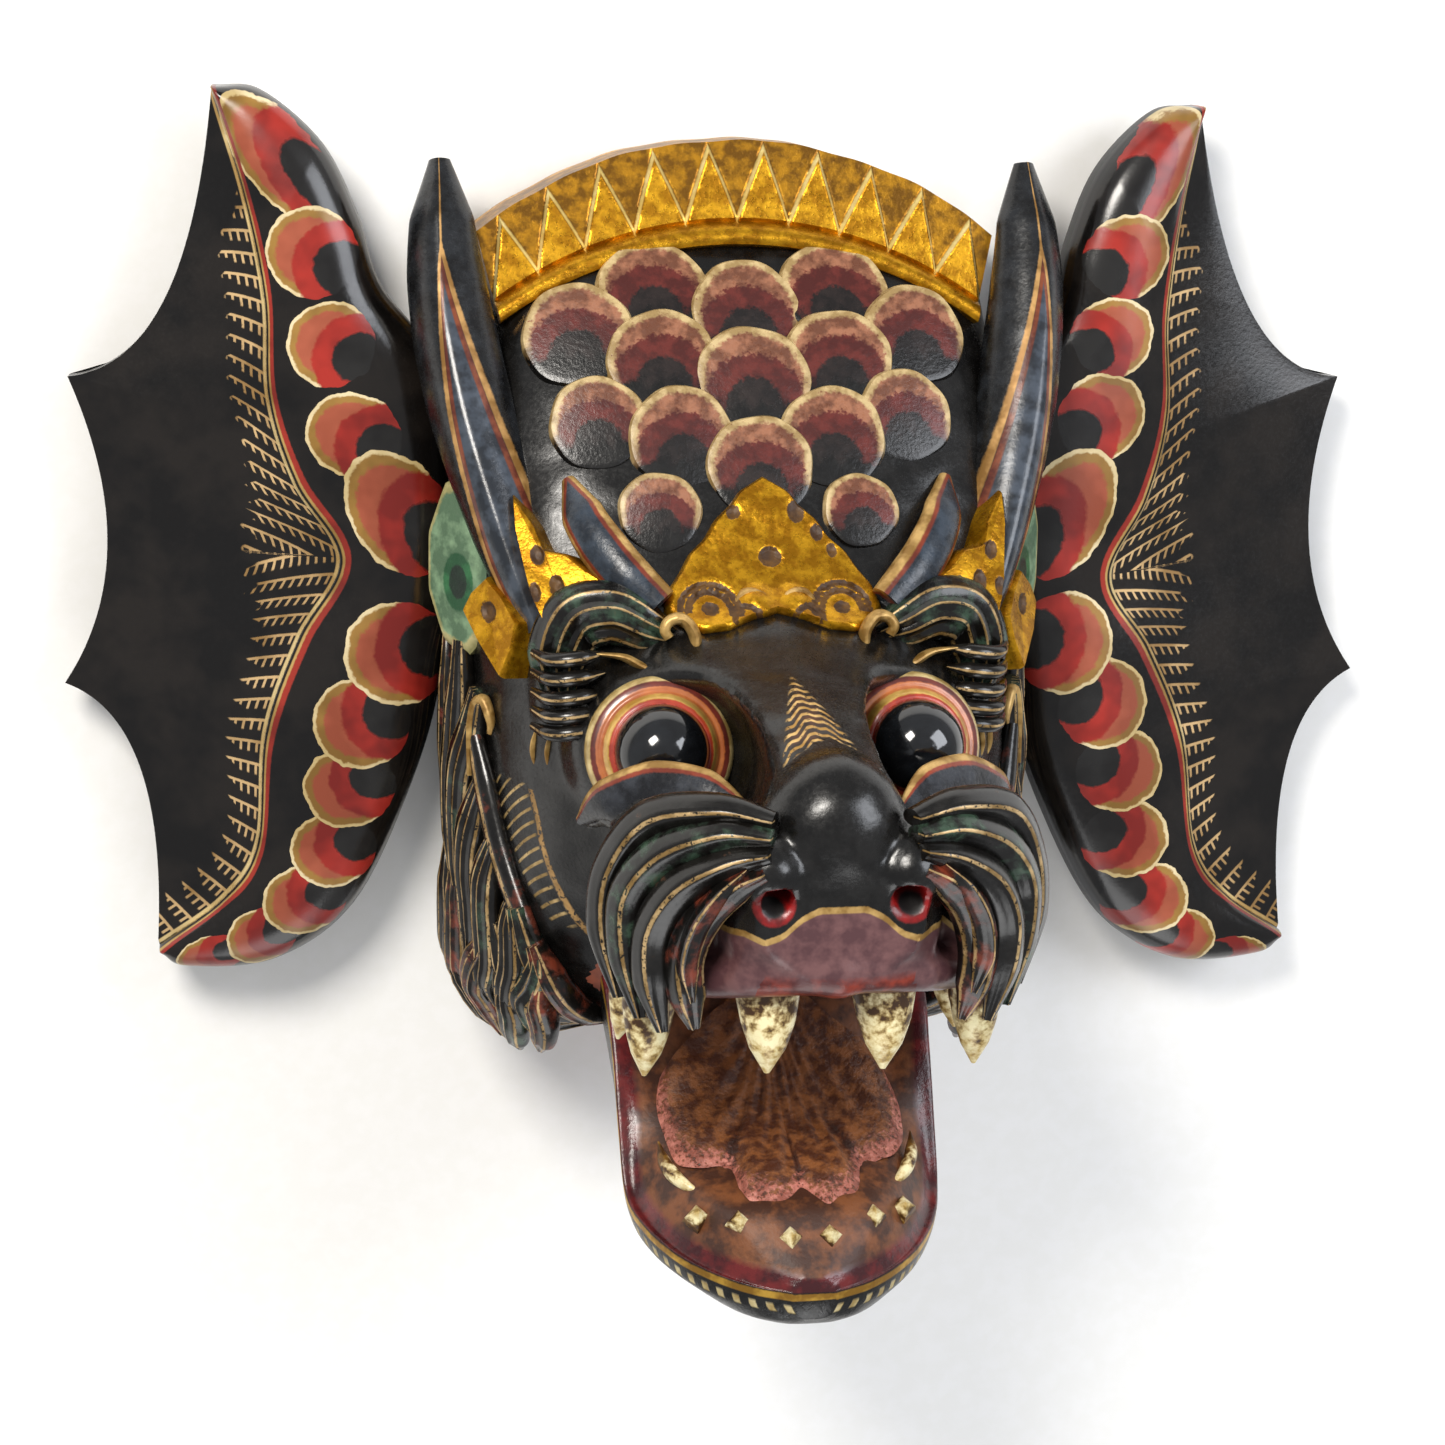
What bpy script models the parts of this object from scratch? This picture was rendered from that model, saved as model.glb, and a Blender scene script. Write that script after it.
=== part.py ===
"""A carved and lacquered wooden dragon mask with two wings let into its sides.

Metres. The mask lies on its back: +Z is the way the snout points, +Y is up the face, +X is
to the right of someone who looks at the face.
"""

from math import asin, atan2, cos, pi, radians, sin, sqrt

import bmesh
import bpy
from mathutils import Matrix, Vector
from mathutils.bvhtree import BVHTree

# Driving sizes of the head
HEAD_WIDTH = 0.228  # mane to mane
HEAD_HEIGHT = 0.339  # foot of the mane to the top of the crown
SNOUT_REACH = 0.262  # back to nose
WALL = 0.022  # wood left around the hollow at the back
HOLLOW_DEPTH = 0.095

# Driving sizes of the wings
WING_REACH = 0.145  # head's side to the lowest point of the wing's edge
WING_HEIGHT = 0.336
WING_THICKNESS = 0.022  # at the arm that carries the painted scales
SKIN_THICKNESS = 0.010  # at the outer edge
WING_SWEEP = radians(6.0)  # the wings lean back from the face
WING_LEAN = radians(2.2)  # hand fitting: the left wing leans out, the right one in
WING_LEVEL = 0.007  # the left wing sits this much higher than the middle, the right one lower
WING_UNLIKE = 0.012  # the right wing is larger by this share, the left one smaller
TENON_DEPTH = 0.012
JOINT_GAP = 0.0003

# Sizes of single carved forms
EYE_RADIUS = 0.0265
PUPIL_RADIUS = 0.0165
EYE_RISE = 0.027
FRONT_FANG = (0.0098, 0.030)  # radius at the gum, length
SIDE_FANG = (0.0075, 0.027)
REAR_FANG = (0.0060, 0.024)
LOWER_TOOTH = (0.0045, 0.015)
SCALE_LIFT = 0.0035
GOLD_LIFT = 0.005
NOSTRIL_RADIUS = 0.0062
CROWN_BACK = 0.012  # the crown's plate starts this far in front of the back
CROWN_TEETH = 10
TOOTH_LIFT = 0.003
ROLL_RADIUS = 0.0042

# The head's forms are placed on a carver's grid. At the sizes above, one step is 1 mm.
STEPS_ACROSS, STEPS_UP, STEPS_DEEP = 228.0, 339.0, 262.0

BLACK = (0.012, 0.012, 0.013, 1.0)


def at(x, y, z):
    """The point at this many steps across, up and out from the middle of the back."""
    return Vector((
        x * HEAD_WIDTH / STEPS_ACROSS,
        y * HEAD_HEIGHT / STEPS_UP,
        z * SNOUT_REACH / STEPS_DEEP,
    ))


# How much the head has grown from the sizes above, across, up and out
GROWTH = (
    1000 * HEAD_WIDTH / STEPS_ACROSS,
    1000 * HEAD_HEIGHT / STEPS_UP,
    1000 * SNOUT_REACH / STEPS_DEEP,
)


def grown(offset):
    """An offset typed for the first head, grown with the head."""
    return Vector([length * by for length, by in zip(offset, GROWTH)])


def shrunk(offset):
    return Vector([length / by for length, by in zip(offset, GROWTH)])


def mixed(a, b, t):
    return a + (b - a) * t


def table(rows, x):
    """Reads a row between the rows, each (x, value, value...), easing from one to the next."""
    if x <= rows[0][0]:
        return rows[0][1:]
    for low, high in zip(rows, rows[1:]):
        if x <= high[0]:
            t = (x - low[0]) / (high[0] - low[0])
            return tuple(mixed(a, b, t) for a, b in zip(low[1:], high[1:]))
    return rows[-1][1:]


def smooth_path(points, count):
    """Points along a Catmull-Rom curve through the given ones."""
    ends = [points[0] * 2 - points[1], *points, points[-1] * 2 - points[-2]]
    made = []
    for i in range(count):
        place = i * (len(points) - 1) / (count - 1)
        k = min(int(place), len(points) - 2)
        t = place - k
        a, b, c, d = ends[k:k + 4]
        made.append(
            0.5 * (2 * b + (c - a) * t + (2 * a - 5 * b + 4 * c - d) * t ** 2
                   + (3 * b - a - 3 * c + d) * t ** 3)
        )
    return made


# Solids

def solid(name, points, faces):
    """A closed mesh object, its faces turned outwards."""
    shape = bmesh.new()
    corners = [shape.verts.new(p) for p in points]
    for face in faces:
        shape.faces.new([corners[i] for i in face])
    bmesh.ops.recalc_face_normals(shape, faces=shape.faces)
    mesh = bpy.data.meshes.new(name)
    shape.to_mesh(mesh)
    shape.free()
    made = bpy.data.objects.new(name, mesh)
    bpy.context.collection.objects.link(made)
    return made


def loft(name, rings):
    """One skin over rings that have the same number of points, closed by a fan at each end."""
    count = len(rings[0])
    points = [p for ring in rings for p in ring]
    faces = [
        (r * count + i, r * count + (i + 1) % count,
         (r + 1) * count + (i + 1) % count, (r + 1) * count + i)
        for r in range(len(rings) - 1)
        for i in range(count)
    ]
    for first, ring in ((0, rings[0]), ((len(rings) - 1) * count, rings[-1])):
        points.append(sum(ring, Vector()) / count)
        faces += [(len(points) - 1, first + i, first + (i + 1) % count) for i in range(count)]
    return solid(name, points, faces)


def sweep(name, path, widths, heights, up, sides=6, grows=True):
    """A tapering tube along a path: widths lie across it, heights along up, both half sizes."""
    sized = grown if grows else Vector
    last = len(path) - 1
    rings = []
    for i, centre in enumerate(path):
        along = shrunk(path[min(i + 1, last)] - path[max(i - 1, 0)]).normalized()
        across = along.cross(up).normalized()
        out = across.cross(along)
        w = table([(k / (len(widths) - 1), v) for k, v in enumerate(widths)], i / last)[0]
        h = table([(k / (len(heights) - 1), v) for k, v in enumerate(heights)], i / last)[0]
        rings.append([
            centre + sized(across * w * cos(2 * pi * s / sides) + out * h * sin(2 * pi * s / sides))
            for s in range(sides)
        ])
    return loft(name, rings)


def ball(name, centre, radii, segments=14, rings=8):
    shape = bmesh.new()
    bmesh.ops.create_uvsphere(shape, u_segments=segments, v_segments=rings, radius=1.0)
    frame = Matrix.Translation(centre) @ Matrix.Diagonal((*grown(radii), 1.0))
    bmesh.ops.transform(shape, matrix=frame, verts=shape.verts)
    mesh = bpy.data.meshes.new(name)
    shape.to_mesh(mesh)
    shape.free()
    made = bpy.data.objects.new(name, mesh)
    bpy.context.collection.objects.link(made)
    return made


def facing(normal, up=Vector((0, 1, 0))):
    """A turn that carries +Z to the normal and keeps +Y as near to up as it can."""
    n = normal.normalized()
    side = up.cross(n).normalized()
    return Matrix((side, n.cross(side), n)).transposed().to_4x4()


def turned(name, centre, turn, profile, segments=14):
    """A round form: profile is (radius, height) from the foot to the top."""
    rings = [
        [centre + turn @ Vector((r * cos(2 * pi * s / segments), r * sin(2 * pi * s / segments), h))
         for s in range(segments)]
        for r, h in profile
    ]
    return loft(name, rings)


def spike(name, foot, tip, radius, sides=7):
    """A fang: a cone with a slight belly, its foot sunk into the gum."""
    turn = facing(tip - foot, Vector((0, 0, 1)))
    length = (tip - foot).length
    profile = [(radius, -0.3 * length), (radius, 0.1 * length), (0.68 * radius, 0.56 * length),
               (0.06 * radius, length)]
    return turned(name, foot, turn, profile, sides)


def plate(name, corners, normal, front, back):
    """A flat ornament: its outline pushed out to the front and back along one normal."""
    n = normal.normalized()
    return loft(name, [[c - grown(n * back) for c in corners], [c + grown(n * front) for c in corners]])


def both_sides(make):
    """Calls make for the right side, x > 0, and for its mirror image."""
    return [made for side in (1, -1) for made in make(side)]


# Skull: one skin from the flat back over the forehead to the nose

SKULL = [  # steps: out, half width, top, foot, squareness
    (0, 100, 198, -108, 5.0),
    (24, 104, 202, -112, 5.0),
    (42, 104, 184, -113, 4.6),
    (58, 103, 165, -111, 4.6),
    (76, 100, 138, -107, 4.4),
    (94, 94, 108, -102, 4.0),
    (110, 86, 79, -94, 3.5),
    (124, 77, 62, -78, 3.0),
    (142, 63, 53, -60, 3.0),
    (168, 47, 46, -53, 3.0),
    (200, 42, 38, -51, 3.2),
    (228, 40, 28, -50, 3.4),
    (243, 36, 8, -47, 3.0),
    (253, 27, -4, -38, 2.4),
]


def skull_ring(out, inset=0.0, count=22, depth=None):
    half, top, foot, power = table(SKULL, out)
    middle = (top + foot) / 2
    rise = (top - foot) / 2
    origin = at(0, middle, 0)
    wide = at(half, 0, 0).x - inset
    high = at(0, rise, 0).y - inset
    z = at(0, 0, out).z if depth is None else depth
    ring = []
    for i in range(count):
        c, s = cos(2 * pi * i / count), sin(2 * pi * i / count)
        x = wide * abs(c) ** (2 / power) * (1 if c >= 0 else -1)
        y = high * abs(s) ** (2 / power) * (1 if s >= 0 else -1)
        ring.append(Vector((x, origin.y + y, z)))
    return ring


def skull():
    return loft("head", [skull_ring(row[0]) for row in SKULL])


def hollow():
    """The scooped-out back: the skull's own rings from one wall further out, one wall smaller."""
    step = SNOUT_REACH / STEPS_DEEP
    depths = [-0.004, 0.0, 0.35 * HOLLOW_DEPTH, 0.7 * HOLLOW_DEPTH, 0.92 * HOLLOW_DEPTH]
    rings = [skull_ring((d + WALL) / step, WALL, 18, d) for d in depths]
    last = (HOLLOW_DEPTH + WALL) / step
    rings.append(skull_ring(last, WALL * 1.5, 18, HOLLOW_DEPTH))
    return loft("hollow", rings)


# Crown: a standing plate between two arcs, with teeth above and a roll below

CROWN_RIM = (98.0, 189.0, 223.0)  # steps: half chord, height at the ends and in the middle
CROWN_FOOT = (90.0, 156.0, 184.0)


def arc_point(arc, t):
    half, end, top = arc
    rise = top - end
    radius = (half ** 2 + rise ** 2) / (2 * rise)
    angle = asin(half / radius) * t
    return radius * sin(angle), top - radius * (1 - cos(angle))


def crown_point(t, s, lift=0.0):
    """t runs from -1 at the left end to 1, s from 0 at the rim to 1 at the foot."""
    x, y = (mixed(a, b, s) for a, b in zip(arc_point(CROWN_RIM, t), arc_point(CROWN_FOOT, t)))
    return at(x, y, 34 + 8 * s + 8 * t * t) + Vector((0, 0, lift))


def crown():
    count = 16
    ts = [2 * i / count - 1 for i in range(count + 1)]
    rings = []
    for t in ts:
        front = [crown_point(t, s) for s in (0.0, 0.5, 0.97)]
        back = [Vector((p.x, p.y, CROWN_BACK)) for p in (front[-1], front[0])]
        rings.append(front + back)
    parts = [loft("crown", rings)]
    for k in range(CROWN_TEETH):
        left, right = (2 * (k + e) / CROWN_TEETH - 1 for e in (0.06, 0.94))
        middle = (left + right) / 2
        tooth = [(left, 0.80), (middle, 0.07), (right, 0.80)]
        low = [crown_point(t, s, -0.005) for t, s in tooth]
        high = [crown_point(t, s, TOOTH_LIFT) for t, s in tooth]
        parts.append(loft("tooth", [low, high]))
    roll = [crown_point(t, 0.93, 0.001) for t in ts]
    parts.append(sweep("roll", roll, [ROLL_RADIUS] * 2, [ROLL_RADIUS] * 2, Vector((0, 0, 1)), 5, False))
    return parts


# Forehead scales, lapped like shingles with their round ends up

SCALES = [  # steps: across, up, radius
    (-34, 167, 22), (34, 167, 22), (-63, 152, 22), (0, 160, 22), (63, 152, 21),
    (-33, 143, 22), (33, 143, 22), (0, 136, 23), (-58, 122, 19), (56, 124, 19),
    (-28, 117, 21), (28, 117, 21), (0, 107, 21), (-38, 92, 16), (36, 92, 15),
]


def scales(surface):
    parts = []
    for x, y, size in SCALES:
        spot, normal = met(surface, at(x, y, STEPS_DEEP), Vector((0, 0, -1)))
        radius = at(size, 0, 0).x
        lean = Matrix.Rotation(radians(-7), 4, "X")
        turn = facing(normal) @ lean
        profile = [(0.94 * radius, -0.006), (0.94 * radius, SCALE_LIFT)]
        parts.append(turned("scale", spot, turn, profile, 9))
    return parts


def met(surface, start, way):
    spot, normal, _, _ = surface.ray_cast(start, way)
    return spot, normal


# Horns and gilded ornaments

def horns(side):
    long_horn = smooth_path([
        at(side * x, y, z)
        for x, y, z in ((80, 48, 100), (91, 84, 84), (103, 128, 66), (110, 172, 50), (111, 214, 36))
    ], 7)
    short_horn = smooth_path([
        at(side * x, y, z) for x, y, z in ((42, 62, 126), (55, 75, 119), (65, 89, 108), (70, 103, 92))
    ], 5)
    forward = Vector((side * 0.25, 0, 1))
    return [
        sweep("horn", long_horn, [0.007, 0.013, 0.016, 0.014, 0.0015],
              [0.012, 0.018, 0.019, 0.014, 0.002], forward, 6),
        sweep("short_horn", short_horn, [0.008, 0.009, 0.007, 0.001],
              [0.006, 0.007, 0.005, 0.001], forward),
    ]


PLAQUE = [  # steps: across, up
    (0, 104), (9, 99), (18, 90), (29, 78), (38, 66), (38, 59), (30, 55), (18, 56), (9, 62), (0, 66),
]


def plaque(surface):
    outline = PLAQUE + [(-x, y) for x, y in PLAQUE[-2:0:-1]]
    low, high = [], []
    for x, y in outline:
        spot, normal = met(surface, at(x, y, STEPS_DEEP), Vector((0, 0, -1)))
        low.append(spot - normal * GOLD_LIFT)
        high.append(spot + normal * GOLD_LIFT)
    return loft("plaque", [low, high])


def gold_leaves(side):
    leaf = [at(side * x, y, z) for x, y, z in
            ((90, 98, 94), (80, 82, 108), (66, 74, 117), (48, 63, 128), (66, 60, 130), (82, 56, 124),
             (88, 74, 110))]
    flame = [at(side * x, y, z) for x, y, z in ((98, 68, 92), (106, 56, 86), (95, 35, 112), (90, 54, 110))]
    return [
        plate("leaf", leaf, Vector((side * 0.5, 0.25, 0.8)), 0.003, 0.018),
        plate("flame", flame, Vector((side * 0.85, 0.1, 0.5)), 0.003, 0.014),
    ]


def side_ears(side):
    """The scalloped ear between horn and wing."""
    centre = at(side * 105, 68, 66)
    turn = facing(Vector((side * 0.8, 0, 0.6)))
    count = 12
    rings = []
    for lift in (-0.010, 0.003):
        ring = []
        for i in range(count):
            a = 2 * pi * i / count
            scallop = 1.0 if i % 2 else 0.92
            spot = turn @ Vector((0.019 * scallop * cos(a), 0.034 * scallop * sin(a), lift))
            ring.append(centre + grown(spot))
        rings.append(ring)
    return [loft("side_ear", rings)]


# Brows, eyes and lids

def brows(side):
    forward = Vector((0, 0.2, 1))
    body = smooth_path([
        at(side * x, y, z)
        for x, y, z in ((37, 51, 128), (47, 55, 128), (59, 60, 126), (71, 56, 123), (76, 41, 122), (75, 24, 125))
    ], 7)
    parts = [sweep("brow", body, [0.004, 0.008, 0.011, 0.013, 0.012, 0.006],
                   [0.005, 0.009, 0.011, 0.012, 0.011, 0.006], forward, 7)]
    curl = [
        at(side * (36 + 7 * cos(a)), 58 + 7 * sin(a), 128.5)
        for a in (-pi * 0.6 - k * pi * 0.3 for k in range(5))
    ]
    parts.append(sweep("curl", curl, [0.0032, 0.0018], [0.0065, 0.0055], forward, 5))
    return parts


def eyes(side):
    centre = at(side * 45, 15, 150)
    turn = facing(Vector((side * 0.08, 0.2, 1)))
    socket = [(EYE_RADIUS, -0.030), (EYE_RADIUS, 0.002), (0.86 * EYE_RADIUS, 0.008),
              (PUPIL_RADIUS, 0.013), (0.86 * PUPIL_RADIUS, 0.74 * EYE_RISE),
              (0.5 * PUPIL_RADIUS, 0.93 * EYE_RISE), (0.1 * PUPIL_RADIUS, EYE_RISE)]
    lid = smooth_path([
        at(side * x, y, z) for x, y, z in ((74, -4, 170), (67, 6, 186), (53, 12, 198), (38, 12, 211), (24, 7, 224))
    ], 7)
    return [
        turned("eye", centre, turn, socket, 12),
        sweep("lid", lid, [0.004, 0.012, 0.014, 0.012, 0.004], [0.003, 0.006, 0.007, 0.006, 0.003],
              Vector((0, 1, 0.3))),
    ]


# Muzzle: nose, lobes under the eyes, whiskers and fangs

WHISKERS = [  # each lock from the side of the nose to its tip, in steps
    ((23, 13, 250), (40, 15, 242), (60, 9, 228), (73, -10, 218), (76, -33, 216), (72, -60, 218)),
    ((24, 8, 253), (40, 8, 246), (57, -1, 235), (68, -18, 227), (69, -42, 225), (65, -65, 226)),
    ((25, 3, 255), (38, -1, 249), (52, -11, 241), (60, -28, 234), (60, -48, 231), (56, -68, 230)),
    ((26, -3, 255), (35, -9, 249), (45, -20, 243), (50, -36, 238), (48, -52, 236), (45, -66, 234)),
]


def whiskers(side):
    out = Vector((side * 0.35, 0, 1))
    return [
        sweep("whisker", smooth_path([at(side * x, y, z) for x, y, z in lock], 6),
              [0.003, 0.0065, 0.0075, 0.0075, 0.0065, 0.0015],
              [0.004, 0.0075, 0.0085, 0.0085, 0.0070, 0.002], out, 5)
        for lock in WHISKERS
    ]


def muzzle(side):
    return [
        ball("lobe", at(side * 48, -20, 200), (0.024, 0.032, 0.032), segments=9, rings=6),
        ball("nose_wing", at(side * 24, -5, 246), (0.0115, 0.012, 0.0125), segments=10, rings=6),
    ]


def nose():
    return [
        ball("nose_tip", at(0, 6, 235), (0.022, 0.024, 0.021), segments=12, rings=8),
        ball("nose_bump", at(0, 60, 112), (0.013, 0.010, 0.012), segments=10, rings=6),
    ]


def nostrils(side):
    centre = at(side * 23, -15, 258)
    turn = facing(Vector((side * 0.25, -0.45, 1)))
    radius = NOSTRIL_RADIUS
    return [turned("nostril", centre, turn,
                   [(0.5 * radius, -0.012), (radius, -0.002), (1.3 * radius, 0.008)], 10)]


def fangs(side):
    down = Vector((0, -1, 0))
    return [
        spike("front_fang", at(side * 20, -49, 226), at(side * 20, -49, 228) + down * FRONT_FANG[1],
              FRONT_FANG[0]),
        spike("side_fang", at(side * 57, -58, 208), at(side * 58, -58, 206) + down * SIDE_FANG[1],
              SIDE_FANG[0]),
        spike("rear_fang", at(side * 55, -60, 165), at(side * 60, -60, 163) + down * REAR_FANG[1],
              REAR_FANG[0]),
    ]


def lip_shelf(side):
    """The upper lip carried back under the whiskers to the corner of the mouth."""
    lip = [at(side * x, y, z) for x, y, z in
           ((32, -48, 236), (44, -50, 220), (52, -53, 195), (55, -56, 165), (58, -62, 135))]
    return [sweep("lip", lip, [0.006, 0.009, 0.010, 0.010, 0.008], [0.007, 0.008, 0.008, 0.009, 0.010],
                  Vector((0, 1, 0)))]


# Lower jaw: a scoop that drops from the corner of the mouth and then runs forward

JAW = [  # steps: out, half width, rim, tongue, foot
    (84, 60, -74, -62, -116),
    (104, 60, -72, -62, -128),
    (126, 60, -80, -84, -142),
    (140, 59, -98, -104, -152),
    (152, 58.5, -122, -115, -160),
    (164, 57.5, -143, -123, -166),
    (180, 53, -150, -129, -171),
    (196, 44, -155, -133, -174),
    (208, 33, -158, -137, -176),
    (217, 21, -160, -148, -175),
    (223, 9, -161, -156, -171),
]


def jaw_ring(out):
    half, rim, tongue, foot = table(JAW, out)
    top = [(-1.0, rim), (-0.86, mixed(rim, tongue, 0.35)), (-0.74, tongue - 3), (-0.4, tongue),
           (0, tongue), (0.4, tongue), (0.74, tongue - 3), (0.86, mixed(rim, tongue, 0.35)), (1.0, rim)]
    low = [(0.96, mixed(rim, foot, 0.45)), (0.72, mixed(rim, foot, 0.85)), (0.36, foot), (-0.36, foot),
           (-0.72, mixed(rim, foot, 0.85)), (-0.96, mixed(rim, foot, 0.45))]
    return [at(share * half, y, out) for share, y in top + low]


def jaw():
    parts = [loft("jaw", [jaw_ring(row[0]) for row in JAW])]
    for x, y, z in ((8.5, -160, 212), (25, -157, 206), (42, -153, 190)):
        for side in (1, -1):
            foot = at(side * x, y, z)
            parts.append(spike("tooth", foot, foot + Vector((0, LOWER_TOOTH[1], 0.001)), LOWER_TOOTH[0], 5))
    for x, z, size in ((0, 186, 13), (24, 178, 12), (-24, 178, 12), (40, 160, 8), (-40, 160, 8)):
        y = table(JAW, z)[2]
        parts.append(ball("tongue", at(x, y - 2, z), (0.001 * size, 0.006, 0.014), segments=8, rings=4))
    return parts


# Mane: locks down each side of the head and under the cheek

MANE = [  # each lock from root to tip, in steps, with its half width
    (((101, 40, 50), (106, 10, 46), (108, -25, 44), (107, -62, 40)), 10),
    (((102, 26, 68), (105, -6, 62), (107, -42, 60), (106, -80, 54)), 10),
    (((102, -34, 28), (106, -62, 32), (107, -86, 38), (101, -107, 46)), 10),
    (((101, -30, 76), (103, -58, 74), (102, -86, 70), (92, -107, 64)), 11),
    (((97, -40, 92), (94, -66, 91), (87, -86, 88), (74, -96, 82)), 10),
    (((88, -56, 106), (81, -76, 104), (70, -89, 100), (56, -97, 94)), 9),
    (((101, -70, 24), (97, -90, 28), (86, -102, 36), (70, -108, 46)), 8),
]


def mane(side):
    return [
        sweep("lock", smooth_path([at(side * x, y, z) for x, y, z in route], 6),
              [0.5 * at(0, half, 0).y, at(0, half, 0).y, at(0, half, 0).y, 0.25 * at(0, half, 0).y],
              [0.005, 0.007, 0.007, 0.003], Vector((side, -0.2, 0.2)), 5)
        for route, half in MANE
    ]


# Wings

def wing_curves(s, grow=0.0):
    """Three points across the wing at s, 0 at the top tip and 1 at the foot: inner edge, vein, edge.

    Each is (out, up) in metres from the head's side, on the wing's own plane.
    """
    inner = smooth_path([Vector(p) for p in (
        (0.54, 1.0, 0), (0.42, 0.993, 0), (0.27, 0.934, 0), (0.185, 0.854, 0), (0.135, 0.776, 0),
        (0.0, 0.68, 0), (-0.02, 0.5, 0), (0.02, 0.325, 0), (0.124, 0.188, 0), (0.28, 0.064, 0),
        (0.49, 0.004, 0), (0.727, 0.0, 0), (0.79, 0.018, 0))], 101)
    vein = smooth_path([Vector(p) for p in (
        (0.541, 0.996, 0), (0.47, 0.884, 0), (0.427, 0.767, 0), (0.428, 0.655, 0), (0.37, 0.56, 0),
        (0.265, 0.472, 0), (0.38, 0.385, 0), (0.478, 0.278, 0), (0.515, 0.147, 0), (0.613, 0.083, 0),
        (0.792, 0.028, 0))], 101)
    tips = [Vector((0.543, 0.99, 0)), Vector((0.946, 0.685, 0)), Vector((1.0, 0.338, 0)),
            Vector((0.796, 0.034, 0))]
    bows = (0.09, 0.105, 0.095)
    bay = min(int(s * 3), 2)
    t = s * 3 - bay
    chord = tips[bay + 1] - tips[bay]
    sag = Vector((chord.y, -chord.x, 0)).normalized() * bows[bay] * 4 * t * (1 - t)
    edge = tips[bay] + chord * t + sag
    spots = [at_wing(path_point(inner, s), -grow), at_wing(path_point(vein, s)), at_wing(edge, grow)]
    return spots


def path_point(path, s):
    place = s * (len(path) - 1)
    k = min(int(place), len(path) - 2)
    return path[k].lerp(path[k + 1], place - k)


def at_wing(share, more=0.0):
    return Vector((share.x * WING_REACH + more, share.y * WING_HEIGHT - 0.29 * WING_HEIGHT, 0))


def wing_section(s, side, grow=0.0):
    inner, vein, edge = wing_curves(s, grow)
    taper = min(1.0, 6 * s, 6 * (1 - s)) ** 0.5 if 0 < s < 1 else 0.0
    arm = SKIN_THICKNESS + (WING_THICKNESS - SKIN_THICKNESS) * (0.35 + 0.65 * taper)
    step = 0.0025
    front = [
        (inner, 0.35 * arm), (inner.lerp(vein, 0.12), 0.78 * arm), (inner.lerp(vein, 0.45), arm),
        (inner.lerp(vein, 0.85), 0.86 * arm), (vein, 0.80 * arm), (vein.lerp(edge, 0.04), 0.80 * arm - step),
        (vein.lerp(edge, 0.5), 0.55 * (arm - step) + 0.45 * SKIN_THICKNESS), (edge, SKIN_THICKNESS),
    ]
    points = [Vector((p.x, p.y, h - WING_THICKNESS + grow)) for p, h in front]
    points += [Vector((p.x, p.y, -WING_THICKNESS - grow)) for p in (edge, vein, inner)]
    return [wing_place(p, side) for p in points]


def wing_place(p, side):
    """From the wing's own plane to the head's side, leant in its plane and swept back."""
    size = 1 + side * WING_UNLIKE
    pivot = Vector((0, 0.16 * WING_HEIGHT, 0))
    sized = Vector((p.x * size, (p.y - pivot.y) * size, p.z))
    leant = Matrix.Rotation(side * WING_LEAN, 4, "Z") @ sized + pivot
    swept = Matrix.Rotation(WING_SWEEP, 4, "Y") @ leant
    root = at(111, 0, 52)
    return Vector((side * (root.x + swept.x), root.y + swept.y - side * WING_LEVEL, root.z + swept.z))


def wing(name, side, grow=0.0):
    stations = 22
    marks = [0.5 - 0.5 * cos(pi * i / stations) for i in range(stations + 1)]
    marks = sorted({round(mixed(i / stations, m, 0.35), 6) for i, m in enumerate(marks)})
    return loft(name, [wing_section(s, side, grow) for s in marks])


def tenon(name, side, grow=0.0):
    """The tongue of the wing's board that enters the head's side."""
    top, foot = 0.60 * WING_HEIGHT - 0.29 * WING_HEIGHT, 0.36 * WING_HEIGHT - 0.29 * WING_HEIGHT
    thick = 0.7 * WING_THICKNESS
    corners = [
        Vector((x, y, z))
        for x, y, z in (
            (-TENON_DEPTH - grow, foot - grow, 0), (0.02, foot - grow, 0),
            (0.02, top + grow, 0), (-TENON_DEPTH - grow, top + grow, 0))
    ]
    back = [wing_place(c + Vector((0, 0, -WING_THICKNESS + 0.001 - grow)), side) for c in corners]
    front = [wing_place(c + Vector((0, 0, -WING_THICKNESS + thick + grow)), side) for c in corners]
    return loft(name, [back, front])


# Assembly

def helper_collection(name, objects):
    group = bpy.data.collections.new(name)
    bpy.context.scene.collection.children.link(group)
    for obj in objects:
        bpy.context.collection.objects.unlink(obj)
        group.objects.link(obj)
        obj.hide_render = True
        obj.display_type = "WIRE"
    return group


def combine(target, objects, operation):
    """A Boolean of the target with all these helpers at once."""
    cut = target.modifiers.new(operation.lower(), "BOOLEAN")
    cut.operation = operation
    cut.operand_type = "COLLECTION"
    cut.collection = helper_collection(target.name + "_" + operation.lower(), objects)
    cut.solver = "EXACT"
    cut.use_self = True


def lacquer(name, colour, roughness, metallic=0.0):
    made = bpy.data.materials.new(name)
    made.use_nodes = True
    shader = made.node_tree.nodes["Principled BSDF"]
    shader.inputs["Base Color"].default_value = colour
    shader.inputs["Roughness"].default_value = roughness
    shader.inputs["Metallic"].default_value = metallic
    return made


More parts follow.
